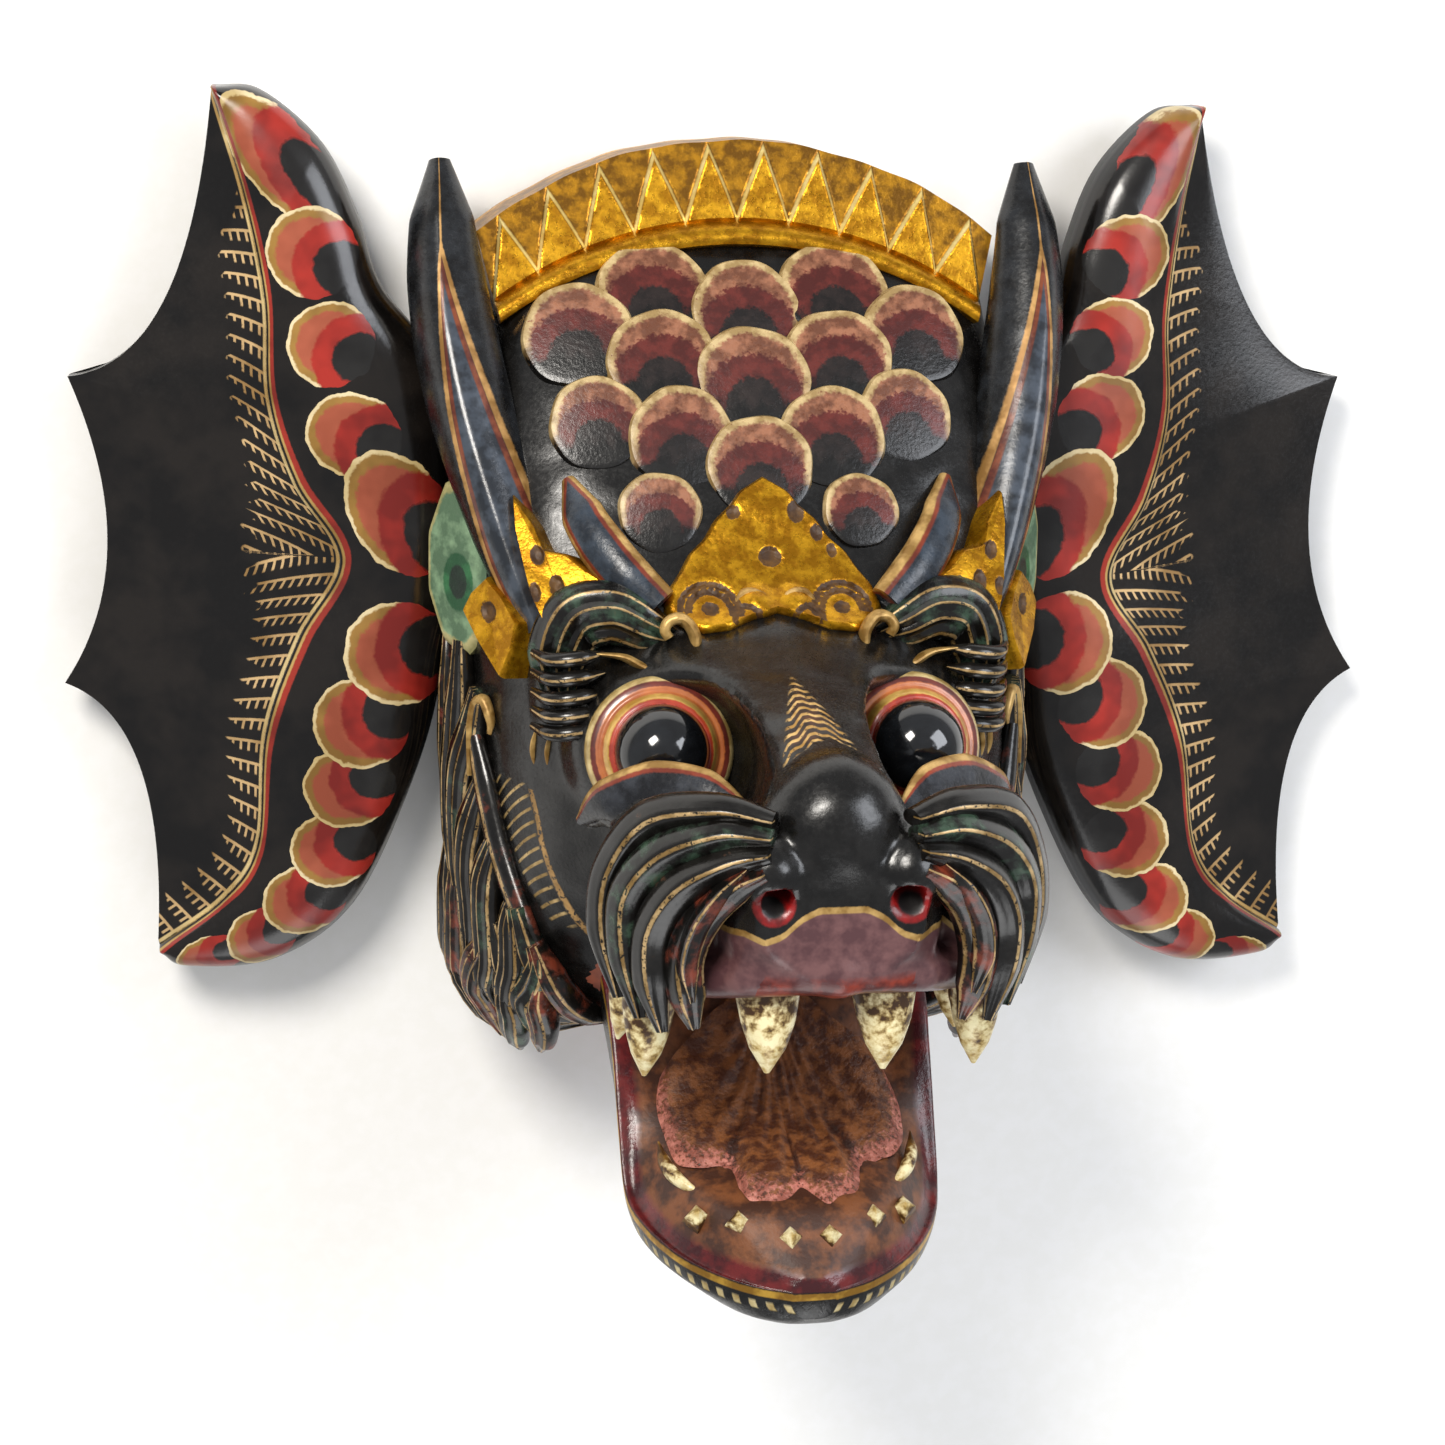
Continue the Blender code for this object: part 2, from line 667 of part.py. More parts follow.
def main():
    for obj in list(bpy.data.objects):
        bpy.data.objects.remove(obj)

    head = skull()
    surface = BVHTree.FromPolygons([v.co for v in head.data.vertices],
                                   [p.vertices[:] for p in head.data.polygons])
    carved = crown() + scales(surface) + [plaque(surface)] + nose() + jaw()
    for form in (horns, gold_leaves, side_ears, brows, eyes, muzzle, lip_shelf, whiskers, fangs, mane):
        carved += both_sides(form)
    combine(head, carved, "UNION")

    cutters = [hollow()] + both_sides(nostrils)
    cutters += both_sides(lambda side: [wing("wing_seat", side, JOINT_GAP), tenon("mortise", side, JOINT_GAP)])
    combine(head, cutters, "DIFFERENCE")

    black = lacquer("black_lacquer", BLACK, 0.3)
    head.data.materials.append(black)
    boards = []
    for name, side in (("wing_left", -1), ("wing_right", 1)):
        board = wing(name, side)
        board.data.materials.append(black)
        combine(board, [tenon("tenon", side)], "UNION")
        boards.append(board)
    stand_on_origin([head, *boards])


def stand_on_origin(pieces):
    """Moves everything so that the pieces' box stands on the origin with its bottom's middle."""
    bpy.context.view_layer.update()
    graph = bpy.context.evaluated_depsgraph_get()
    corners = [v.co for piece in pieces for v in piece.evaluated_get(graph).data.vertices]
    low = Vector(min(c[i] for c in corners) for i in range(3))
    high = Vector(max(c[i] for c in corners) for i in range(3))
    for obj in bpy.data.objects:
        obj.location -= Vector(((low.x + high.x) / 2, (low.y + high.y) / 2, low.z))


main()
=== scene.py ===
from math import cos, pi, radians, sin

import bpy
import numpy as np
from mathutils import Matrix, Vector
from mathutils.bvhtree import BVHTree


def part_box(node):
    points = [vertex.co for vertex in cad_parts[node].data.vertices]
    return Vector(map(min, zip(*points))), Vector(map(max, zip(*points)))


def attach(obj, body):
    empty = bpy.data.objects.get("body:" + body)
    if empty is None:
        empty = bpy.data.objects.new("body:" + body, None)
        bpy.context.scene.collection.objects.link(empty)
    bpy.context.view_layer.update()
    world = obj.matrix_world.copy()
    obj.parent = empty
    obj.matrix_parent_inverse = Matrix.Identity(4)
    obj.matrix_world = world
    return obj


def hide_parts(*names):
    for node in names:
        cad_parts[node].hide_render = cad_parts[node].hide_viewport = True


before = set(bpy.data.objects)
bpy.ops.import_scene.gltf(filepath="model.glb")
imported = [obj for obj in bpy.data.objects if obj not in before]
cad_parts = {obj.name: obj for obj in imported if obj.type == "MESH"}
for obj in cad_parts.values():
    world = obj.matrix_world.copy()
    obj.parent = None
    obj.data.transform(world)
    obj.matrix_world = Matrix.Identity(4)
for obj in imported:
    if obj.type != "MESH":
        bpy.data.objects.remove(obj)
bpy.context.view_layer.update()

# All forms are laid out in millimetres from the middle of the mask's back, x to the viewer's
# right, y up the face, z out of the face, and moved to the frame's origin when a mesh is made.
headLow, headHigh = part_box("head")
shift = np.array([(headLow.x + headHigh.x) / 2, headHigh.y - 0.223, headLow.z])


def colour(code):
    channels = [int(code[i:i + 2], 16) / 255 for i in (1, 3, 5)]
    linear = [c / 12.92 if c <= 0.04045 else ((c + 0.055) / 1.055) ** 2.4 for c in channels]
    return (*linear, 1.0)


# Meshes

def spline(points, count):
    p = np.array(points, float)
    p = np.vstack([2 * p[0] - p[1], p, 2 * p[-1] - p[-2]])
    place = np.linspace(0, len(points) - 1, count)
    k = np.minimum(place.astype(int), len(points) - 2)
    t = (place - k)[:, None]
    a, b, c, d = (p[k + i] for i in range(4))
    square, cube = 2 * a - 5 * b + 4 * c - d, 3 * b - a - 3 * c + d
    return 0.5 * (2 * b + (c - a) * t + square * t ** 2 + cube * t ** 3)


def spread(values, count):
    return np.interp(np.linspace(0, 1, count), np.linspace(0, 1, len(values)), values)


def unit(v):
    return v / np.maximum(np.linalg.norm(v, axis=-1, keepdims=True), 1e-9)


def gridPart(points, closed=True, capped=True, **fields):
    rows, cols = points.shape[:2]
    index = np.arange(rows * cols).reshape(rows, cols)
    left = index if closed else index[:, :-1]
    right = np.roll(index, -1, axis=1) if closed else index[:, 1:]
    faces = np.stack([left[:-1], right[:-1], right[1:], left[1:]], axis=-1).reshape(-1, 4).tolist()
    if capped:
        faces += [index[0, ::-1].tolist(), index[-1].tolist()]
    flat = {name: np.broadcast_to(value, (rows, cols)).reshape(-1) for name, value in fields.items()}
    return dict(points=points.reshape(-1, 3), faces=faces, fields=flat)


def mirrored(part):
    return dict(points=part["points"] * [-1, 1, 1], faces=[f[::-1] for f in part["faces"]],
                fields=part["fields"])


def both(parts):
    return parts + [mirrored(p) for p in parts]


def piece(name, parts, material, nodes=(), sharp=40):
    points = np.vstack([p["points"] for p in parts]) * 0.001 + shift
    faces, start = [], 0
    for p in parts:
        faces += [[i + start for i in f] for f in p["faces"]]
        start += len(p["points"])
    mesh = bpy.data.meshes.new(name)
    mesh.from_pydata(points.tolist(), [], faces)
    for field in {f for p in parts for f in p["fields"]}:
        data = mesh.attributes.new(field, "FLOAT", "POINT")
        data.data.foreach_set("value", np.concatenate(
            [p["fields"].get(field, np.zeros(len(p["points"]))) for p in parts]).astype(np.float32))
    mesh.shade_smooth()
    mesh.set_sharp_from_angle(angle=radians(sharp))
    mesh.materials.append(material)
    made = bpy.data.objects.new(name, mesh)
    bpy.context.collection.objects.link(made)
    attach(made, "root")
    if nodes:
        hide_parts(*nodes)
    print(name, len(mesh.polygons), "faces")
    return made


# On a lock, across runs from -1 to 1 over it and along from 0 to 1 down it.
def lock(route, widths, heights, up, rows=40, cols=18, power=2.0, **fields):
    path = spline(route, rows)
    ahead = unit(np.gradient(path, axis=0))
    side = unit(np.cross(ahead, unit(np.array(up, float))))
    out = np.cross(side, ahead)
    a = np.linspace(0, 2 * pi, cols, endpoint=False)
    c = np.sign(np.cos(a)) * np.abs(np.cos(a)) ** (2 / power)
    s = np.sign(np.sin(a)) * np.abs(np.sin(a)) ** (2 / power)
    w, h = spread(widths, rows)[:, None], spread(heights, rows)[:, None]
    points = path[:, None] + side[:, None] * (w * c)[..., None] + out[:, None] * (h * s)[..., None]
    along = np.linspace(0, 1, rows)[:, None]
    return gridPart(points, across=np.cos(a)[None] + 0 * w, along=along + 0 * c[None],
                    inward=(1 - np.abs(c))[None] * w, **{k: v for k, v in fields.items()})


def turnTo(normal, up=(0, 1, 0)):
    n = unit(np.array(normal, float))
    x = unit(np.cross(np.array(up, float), n))
    return np.stack([x, np.cross(n, x), n])


# Materials

def add(tree, kind, inputs=(), out=0, **settings):
    made = tree.nodes.new("ShaderNode" + kind)
    for key, value in settings.items():
        setattr(made, key, value)
    for key, value in (inputs.items() if isinstance(inputs, dict) else enumerate(inputs)):
        if isinstance(value, bpy.types.NodeSocket):
            tree.links.new(value, made.inputs[key])
        else:
            made.inputs[key].default_value = value
    return made.outputs[out]


def grainNoise(tree, place, size, detail=3.0, rough=0.6):
    return add(tree, "TexNoise", {"Vector": place, "Scale": 1000 / size, "Detail": detail,
                                  "Roughness": rough}, "Fac")


# Distances from the middle and from the heart of whichever painted shell lies on top.
def shellPaint(tree, shells, place):
    out, up = (add(tree, "Attribute", out="Fac", attribute_name=name) for name in ("out", "up"))
    flat = add(tree, "CombineXYZ", [out, up])
    handSway = dict(size=6.2, reach=3.0)  # mm, how a hand-held brush strays
    sway = add(tree, "TexNoise", {"Vector": place, "Scale": 1000 / handSway["size"], "Detail": 2.0},
               "Color")
    sway = add(tree, "VectorMath", [sway, (0.5, 0.5, 0.5)], operation="SUBTRACT")
    reach = (handSway["reach"], handSway["reach"], 0.0)
    flat = add(tree, "VectorMath", [sway, reach, flat], operation="MULTIPLY_ADD")
    radius, heart = 2.0, 2.0
    for u, v, a, b, turn, down in shells:
        local = add(tree, "Mapping", {"Vector": flat, "Location": (u, v, 0),
                                      "Rotation": (0, 0, radians(turn)),
                                      "Scale": (a, b, 1)}, vector_type="TEXTURE")
        away = add(tree, "VectorMath", [local], "Value", operation="LENGTH")
        heartSpot = Matrix.Rotation(-radians(turn), 3, "Z") @ Vector((-0.62, down, 0))
        core = add(tree, "VectorMath", [local, tuple(heartSpot)], operation="SUBTRACT")
        core = add(tree, "VectorMath", [core], "Value", operation="LENGTH")
        inside = add(tree, "Math", [away, 1.0], operation="LESS_THAN")
        radius = add(tree, "Mix", {0: inside, 2: radius, 3: away}, 0, data_type="FLOAT")
        heart = add(tree, "Mix", {0: inside, 2: heart, 3: core}, 0, data_type="FLOAT")
    return dict(shellRadius=radius, shellHeart=heart)


def painted(label, ground, layers, roughness=0.3, metallic=0.0, relief=0.12, worn=9.0, coat=0.0, shells=()):
    made = bpy.data.materials.new(label)
    made.use_nodes = True
    tree = made.node_tree
    tree.nodes.clear()
    place = add(tree, "TexCoord", out="Object")
    broad = grainNoise(tree, place, worn)
    fine = grainNoise(tree, place, 1.6, 4.0)
    cloud = add(tree, "MapRange", [broad, 0.42, 0.62, 0.0, 1.0])
    tone = add(tree, "Mix", {0: cloud, 6: colour(ground[0]), 7: colour(ground[1])}, 2, data_type="RGBA")
    gloss = add(tree, "MapRange", [fine, 0.3, 0.7, roughness * 0.75, roughness * 1.35])
    metal = metallic
    fields = shellPaint(tree, shells, place) if shells else {}

    def field(name):
        if name not in fields:
            fields[name] = add(tree, "Attribute", out="Fac", attribute_name=name)
        return fields[name]

    height = fine
    for layer in layers:  # a layer shows where its field is past its edge
        value = field(layer["field"])
        if "times" in layer:
            scaled = add(tree, "Math", [value, layer["times"]], operation="MULTIPLY")
            value = add(tree, "Math", [scaled, 0.5], operation="PINGPONG")
        wobble = add(tree, "Math", [broad if layer.get("broad") else fine, -0.5], operation="ADD")
        value = add(tree, "Math", [wobble, layer.get("wobble", 0.6), value], operation="MULTIPLY_ADD")
        mask = add(tree, "MapRange", [value, *layer["edge"], 0.0, 1.0])
        for name, low, high, *each in layer.get("within", ()):
            limit = field(name)
            for times in each:
                limit = add(tree, "Math", [limit, times], operation="MULTIPLY")
                limit = add(tree, "Math", [limit], operation="FRACT")
            limit = add(tree, "MapRange", [limit, low, high, 0.0, 1.0])
            mask = add(tree, "Math", [mask, limit], operation="MULTIPLY")
        if layer.get("wear"):
            kept = add(tree, "MapRange", [fine, layer["wear"], layer["wear"] + 0.08, 0.0, 1.0])
            mask = add(tree, "Math", [mask, kept], operation="MULTIPLY")
        shade = add(tree, "Mix", {0: cloud, 6: colour(layer["hue"][0]), 7: colour(layer["hue"][1])}, 2,
                    data_type="RGBA")
        tone = add(tree, "Mix", {0: mask, 6: tone, 7: shade}, 2, data_type="RGBA")
        metal = add(tree, "Mix", {0: mask, 2: metal, 3: layer.get("metal", 0.0)}, 0, data_type="FLOAT")
        gloss = add(tree, "Mix", {0: mask, 2: gloss, 3: layer.get("rough", roughness)}, 0,
                    data_type="FLOAT")
        if "raised" in layer:
            height = add(tree, "Math", [mask, layer["raised"] / relief, height], operation="MULTIPLY_ADD")
    normal = add(tree, "Bump", {"Strength": relief, "Distance": 0.0008, "Height": height}, "Normal")
    shader = add(tree, "BsdfPrincipled", {"Base Color": tone, "Metallic": metal, "Roughness": gloss,
                                          "IOR": 1.5, "Coat Weight": coat, "Coat Roughness": 0.1,
                                          "Normal": normal}, "BSDF")
    output = tree.nodes.new("ShaderNodeOutputMaterial")
    tree.links.new(shader, output.inputs["Surface"])
    return made


black = ("#0b0a09", "#171615")
goldPaint = dict(hue=("#8c6a34", "#c9a566"), metal=0.35, rough=0.42)

# Head block: a smooth solid worked as a distance field, then meshed

headBlock = dict(
    rows=[  # out, half width, top, foot, squareness
        (0, 100, 198, -108, 5.0), (24, 104, 202, -112, 5.0), (42, 104, 184, -113, 4.6),
        (58, 103, 165, -111, 4.6), (76, 100, 138, -107, 4.4), (94, 94, 108, -102, 4.0),
        (110, 86, 79, -94, 3.5), (124, 77, 62, -78, 3.0), (142, 63, 53, -60, 3.0),
        (168, 47, 46, -53, 3.0), (200, 42, 38, -51, 3.2), (228, 40, 28, -50, 3.4),
        (243, 36, 8, -47, 3.0), (253, 27, -4, -38, 2.4)],
    wall=22.0,  # mm of wood round the hollow
    hollowDepth=95.0,
    snoutEnd=253.0,
    toolMarks=0.25,  # mm, how far the chisel's marks rise and fall
    voxel=2.0,
    quickVoxel=2.6,
    look=dict(
        label="black_lacquer_brushed_over_carved_wood",  # soft grey sheen over near black
        ground=black,
        layers=[
            dict(field="mouth", edge=(0, 1), hue=("#6e3a2a", "#8c4a34"), rough=0.45),
            dict(field="lip", edge=(-0.4, 0.4), hue=("#4f3336", "#6b4a4a"), rough=0.3,
                 within=[("mouth", 0.5, -0.5)]),
            dict(field="mouth", edge=(-8.0, -4.5), hue=("#4c1612", "#86301f"), rough=0.28, wobble=2.5,
                 within=[("lip", 0.5, 1.0), ("mouth", 1.0, 0.0)]),
            dict(field="lip", edge=(-1.4, -0.9), hue=goldPaint["hue"], metal=0.4, rough=0.4,
                 within=[("lip", 1.3, 0.8), ("mouth", -8, -9)]),
            dict(field="featherIn", edge=(0.5, 3.5), hue=("#1c120d", "#4a2a1a"), rough=0.32, wobble=4.0),
            dict(field="feather", times=1 / 4.6, edge=(0.24, 0.16), hue=("#a8803e", "#dcb878"), metal=0.3,
                 rough=0.4, wobble=0.1, within=[("featherIn", -1.0, 0.5)], wear=0.36, raised=0.25),
            dict(field="cheek", times=1 / 4.6, edge=(0.15, 0.08), hue=("#8a7040", "#c4a874"), metal=0.3,
                 rough=0.42, wobble=0.12, wear=0.34, within=[("cheekIn", 0.0, 1.5)], raised=0.35),
            dict(field="spine", edge=(0.0, 0.6), hue=("#8a6a3c", "#b08a54"), metal=0.3, rough=0.42,
                 wear=0.4, raised=0.3),
            dict(field="nostril", edge=(0, 0.8), hue=("#5c0e0e", "#8c1616"), rough=0.3),
            # painted shade: near black inside the carved nostril holes, within the red ring
            dict(field="nostril", edge=(2.6, 3.4), hue=("#080606", "#100b0a"), rough=0.5),
            dict(field="back", edge=(-0.5, 0.5), hue=("#6f5236", "#8a6a48"), rough=0.7),
        ],
        roughness=0.24, relief=0.1,
    ),
)
skullRows = np.array(headBlock["rows"])
skullDepths = np.arange(-30.0, 300.0)
softening = np.hanning(15)[1:-1] / np.hanning(15).sum()  # over 13 mm of depth
skullSmooth = []
for column in range(1, 5):
    plain = np.interp(skullDepths, skullRows[:, 0], skullRows[:, column])
    skullSmooth.append(np.convolve(np.pad(plain, 6, mode="edge"), softening, mode="valid"))


def skull(x, y, z):
    half, top, foot, power = (np.interp(z, skullDepths, column) for column in skullSmooth)
    rise = (top - foot) / 2
    ring = (np.abs(x) / half) ** power + (np.abs(y - (top + foot) / 2) / rise) ** power
    return (ring ** (1 / power) - 1) * np.minimum(half, rise)


def ellipsoid(centre, radii):
    c, r = np.array(centre, float), np.array(radii, float)

    def distance(*p):
        flat = sum(((p[i] - c[i]) / r[i]) ** 2 for i in range(3)) ** 0.5
        steep = sum(((p[i] - c[i]) / r[i] ** 2) ** 2 for i in range(3)) ** 0.5
        return flat * (flat - 1) / np.maximum(steep, 1e-6)
    return distance, c - r, c + r


def tube(points, radii):
    path, size = np.array(points, float), np.array(radii, float)

    def distance(*p):
        best = None
        for a, b, ra, rb in zip(path, path[1:], size, size[1:]):
            step = b - a
            t = np.clip(sum((p[i] - a[i]) * step[i] for i in range(3)) / (step @ step), 0, 1)
            gap = sum((p[i] - a[i] - t * step[i]) ** 2 for i in range(3)) ** 0.5 - (ra + (rb - ra) * t)
            best = gap if best is None else np.minimum(best, gap)
        return best
    return distance, (path - size[:, None]).min(0), (path + size[:, None]).max(0)


headForms = [  # form, softness of the seam, cut or not; each is carved on both sides
    (tube([(45, 15, 169), (49, 23, 205), (54, 34, 262)], (30.5, 31, 34)), 6, True),
    (ellipsoid((45, 13, 130), (30, 30, 22)), 5, False),
    (tube([(33, 51, 118), (52, 57, 116), (68, 54, 112), (76, 40, 110), (77, 22, 114)], (6, 8, 9, 8, 6)), 5,
     False),
    (tube([(72, -7, 166), (66, 1, 179), (53, 6, 191), (38, 6, 204), (24, 3, 217)], (2, 6, 8, 7, 3)), 8,
     False),
    (ellipsoid((48, -20, 200), (24, 32, 32)), 6, False),
    (ellipsoid((0, 7, 235), (24, 25, 22)), 5, False),
    (ellipsoid((24, -5, 246), (11.5, 12, 12)), 3, False),
    (tube([(0, 54, 122), (0, 41, 150), (0, 31, 180), (0, 20, 218)], (7, 8, 10, 13)), 8, False),
    (tube([(58, -57, 150), (54, -52, 196), (45, -47, 222), (30, -43, 238), (12, -41, 246), (0, -41, 247)],
          (6, 7, 7, 7, 6.5, 6.5)), 4, False),
    (ellipsoid((6.5, 58, 120), (7.5, 8.5, 11)), 2, False),
    (tube([(24, -19, 266), (22, -12, 250), (20, -8, 242)], (6.5, 5, 3)), 1.5, True),
]


def headField(axes):
    x, y, z = np.meshgrid(*axes, indexing="ij")
    raw = skull(x, y, z)
    slope = np.sqrt(sum(g ** 2 for g in np.gradient(raw, *axes)))
    field = np.maximum(raw / np.clip(slope, 0.4, 4), z - headBlock["snoutEnd"])
    for (shape, low, high), soft, cut in headForms:
        for side in (1, -1):
            ends = [(low[0], high[0]) if side > 0 else (-high[0], -low[0]), (low[1], high[1]),
                    (low[2], high[2])]
            part = tuple(slice(*np.searchsorted(axis, (e[0] - 3 * soft, e[1] + 3 * soft)))
                         for axis, e in zip(axes, ends))
            new, old = shape(side * x[part], y[part], z[part]), field[part]
            if cut:
                old = -old
            h = np.clip(0.5 + 0.5 * (new - old) / soft, 0, 1)
            met = new * (1 - h) + old * h - soft * h * (1 - h)
            field[part] = -met if cut else met
            if abs(low[0] + high[0]) < 1e-6:
                break
    wall = headBlock["wall"]
    hollow = np.maximum(skull(x, y, z + wall) + wall, z - headBlock["hollowDepth"])
    field = np.maximum(np.maximum(field, -hollow), -z)
    marks = np.sin(x / 5.3 + np.sin(y / 7.1) * 2) * np.sin(y / 4.7 + 1.3 * np.sin(z / 6.1))
    return field + headBlock["toolMarks"] * marks


# The field's zero surface as quads, one point in each cell that it crosses.
def surfaceNet(field, axes):
    step = axes[0][1] - axes[0][0]
    cells = np.array(field.shape) - 1
    total, count, edges = np.zeros((cells.prod(), 3)), np.zeros(cells.prod()), []
    for axis in range(3):
        first = [slice(None)] * 3
        second = [slice(None)] * 3
        first[axis], second[axis] = slice(None, -1), slice(1, None)
        a, b = field[tuple(first)], field[tuple(second)]
        spot = np.argwhere((a < 0) != (b < 0))
        va, vb = a[tuple(spot.T)], b[tuple(spot.T)]
        point = spot.astype(float)
        point[:, axis] += va / (va - vb)
        u, v = [i for i in range(3) if i != axis]
        ring = []
        for du, dv in ((-1, -1), (0, -1), (0, 0), (-1, 0)):
            cell = spot.copy()
            cell[:, u] += du
            cell[:, v] += dv
            cell = np.clip(cell, 0, cells - 1)
            flat = np.ravel_multi_index(cell.T, cells)
            ring.append(flat)
            count += np.bincount(flat, minlength=len(count))
            for k in range(3):
                total[:, k] += np.bincount(flat, point[:, k], len(count))
        flip = (va < 0) != (axis == 1)
        ring = np.stack(ring, axis=1)
        edges.append(np.where(flip[:, None], ring, ring[:, ::-1]))
    used = count > 0
    number = np.cumsum(used) - 1
    points = total[used] / count[used][:, None] * step + [a[0] for a in axes]
    return points, number[np.vstack(edges)]


voxel = headBlock["voxel"]  # mm
headAxes = [np.arange(-116, 118, voxel), np.arange(-124, 212, voxel), np.arange(-5, 266, voxel)]
headPoints, headFaces = surfaceNet(headField(headAxes), headAxes)
print("head block", len(headPoints), "points")
headTree = BVHTree.FromPolygons(headPoints.tolist(), headFaces.tolist())


def onHead(x, y):  # the place and the slope of the head straight below a point over the face
    spot, normal, _, _ = headTree.ray_cast(Vector((x, y, 400.0)), Vector((0, 0, -1)))
    if spot is None:
        return np.array([x, y, 60.0]), np.array([0, 0, 1.0])
    return np.array(spot), np.array(normal)


x, y, z = headPoints.T
ax = np.abs(x)
lipLine = np.interp(ax, (0, 8, 14, 20, 26, 32, 38, 46, 56),
                    (-17, -17, -20, -25.5, -27.5, -25.5, -26, -33, -44))
sideLine = np.interp(z, (120, 160, 195, 215), (-70, -52, -44, -36))
palateHalf = np.interp(z, (110, 124, 142, 168, 228, 253), (66, 60, 52, 40, 35, 24))
front = np.clip((z - 205) / 20, 0, 1)
cheekOut = 111 - (y + 12) * 0.28 - z
headFields = dict(
    lip=lipLine * front + sideLine * (1 - front) - y - np.clip(142 - z, 0, 60),
    mouth=-47.5 - y - 60 * ((z < 112) | (ax > palateHalf)),
    nostril=7.6 - np.sqrt((ax - 23) ** 2 + (y + 15) ** 2 + ((z - 253) * 0.5) ** 2),
    back=np.maximum(-14 - skull(x, y, z + headBlock["wall"]), 1.2 - z) - 400 * (z > 97.5),  # bare wood
    feather=z - 0.9 * np.abs(x + 3) + 1.2 * np.sin(x * 0.9),
    featherIn=np.minimum(0.5 + (z - 177) * 0.24 - np.abs(x + 3), 221 - z + 0.5 * ax),
    cheek=-y - 0.42 * cheekOut - 0.012 * cheekOut ** 2,
    cheekIn=np.minimum.reduce([cheekOut, 23 + (y + 8) * 0.3 - cheekOut, -5 - y, y + 57]) - 30 * (ax < 60),
    spine=1.5 - np.abs(cheekOut + 1.5) - 30 * (ax < 60) - 30 * ((y > -6) | (y < -60)),
)
piece("head_block", [dict(points=headPoints, faces=headFaces.tolist(), fields=headFields)],
      painted(**headBlock["look"]), nodes=["head"])

# Crown


def arcPoint(arc, t):
    half, end, top = arc
    radius = (half ** 2 + (top - end) ** 2) / (2 * (top - end))
    angle = np.arcsin(half / radius) * t
    return radius * np.sin(angle), top - radius * (1 - np.cos(angle))


crown = dict(
    rim=(98.0, 189.0, 223.0),  # half width, height at the ends and in the middle
    foot=(90.0, 156.0, 184.0),
    teeth=10,
    lift=2.2,  # mm that each tooth stands out
    roll=4.4,  # mm that the roll along the foot stands out
    columns=361,
    look=dict(
        label="gold_leaf_burnished_over_red_ground",  # bright metal; dark brown painted shade in the plates' pierced holes and cut arcs
        ground=("#a06c08", "#d29a1c"), metallic=0.8, roughness=0.3, relief=0.3, worn=6.0,
        layers=[
            dict(field="tooth", edge=(0.3, -0.6), hue=("#6a4608", "#a87614"), metal=0.75, rough=0.36,
                 within=[("tooth", -34, -33)]),
            dict(field="tooth", edge=(-0.7, -0.2), hue=("#e8cf7e", "#f4e3a0"), metal=0.6, rough=0.35,
                 within=[("tooth", 0.7, 0.3), ("down", 0.82, 0.8)]),
            # painted shade: dark brown where the plates' pierced holes and cut arcs sink in
            dict(field="rub", edge=(0.5, 0.6), hue=("#3a2208", "#5a3a0a"), metal=0.1, rough=0.5),
        ],
    ),
)
t = np.linspace(-1, 1, crown["columns"])[:, None]
s = np.linspace(0.0, 1.0, 30)[None]
rimX, rimY = arcPoint(crown["rim"], t)
footX, footY = arcPoint(crown["foot"], t)
toothShare = np.abs(((t + 1) / 2 * crown["teeth"]) % 1 - 0.5) * 2  # 0 at a tooth's middle, 1 between teeth
toothIn = (s - 0.06 - 0.68 * toothShare) * 14  # mm inside the tooth's slanted edge
faceZ = 34 + 8 * s + 8 * t * t + crown["lift"] * np.clip(toothIn / 1.2 + 0.5, 0, 1) * (s < 0.99)
rollAt = (s - 0.89) / 0.11
faceZ = faceZ + crown["roll"] * np.sqrt(np.clip(1 - rollAt ** 2, 0, 1))
faceZ = faceZ - 1.6 * np.exp(-((s - 0.76) / 0.02) ** 2)  # the line cut between teeth and roll
chip = 0.3 * np.sin(t * 11) + 0.2 * np.sin(t * 29 + 1)
faceY = rimY + chip * (1 - s) ** 6 - 0.8 + (footY - rimY) * s
face = np.stack([rimX + (footX - rimX) * s, faceY, faceZ], axis=-1)
under = face[:, -1:] * [1, 1, 0] + np.stack([0 * t, 0 * t, 0 * t + 12.0], axis=-1)
behind = face[:, :1] * [1, 1, 0] + np.stack([0 * t, 0 * t, 0 * t + 12.0], axis=-1)
tooth = np.concatenate([toothIn + 0 * t, 0 * t - 40, 0 * t - 40], axis=1)
down = np.concatenate([s + 0 * t, 0 * t + 1, 0 * t], axis=1)
crownPart = gridPart(np.concatenate([face, under, behind], axis=1)[:, ::-1], tooth=tooth[:, ::-1],
                     down=down[:, ::-1])
gold = painted(**crown["look"])
piece("crown", [crownPart], gold, sharp=35)

# Forehead scales

scales = dict(
    rows=[  # across, up, radius
        (-34, 167, 22), (34, 167, 22), (-63, 152, 22), (0, 160, 22), (63, 152, 21), (-33, 143, 22),
        (33, 143, 22), (0, 136, 23), (-58, 122, 19), (56, 124, 19), (-28, 117, 21), (28, 117, 21),
        (0, 107, 21), (-38, 92, 16), (36, 92, 15)],
    look=dict(
        label="earth_colours_brushed_in_rings_on_lacquer",  # pale rim, red brown, black heart
        ground=("#643c2a", "#96644a"), roughness=0.3, relief=0.2, worn=6.0,
        layers=[
            dict(field="core", edge=(0.92, 0.86), hue=("#451814", "#5e241e"), rough=0.3, wobble=0.35),
            dict(field="core", edge=(0.52, 0.46), hue=("#15100f", "#241c1a"), rough=0.28, wobble=0.25),
            dict(field="q", edge=(0.80, 0.86), hue=("#93794c", "#c0a878"), rough=0.38, wobble=0.2,
                 wear=0.28, within=[("core", 0.75, 0.95)]),
            dict(field="low", edge=(0.34, 0.5), hue=black, rough=0.25, wobble=0.3),
        ],
    ),
)
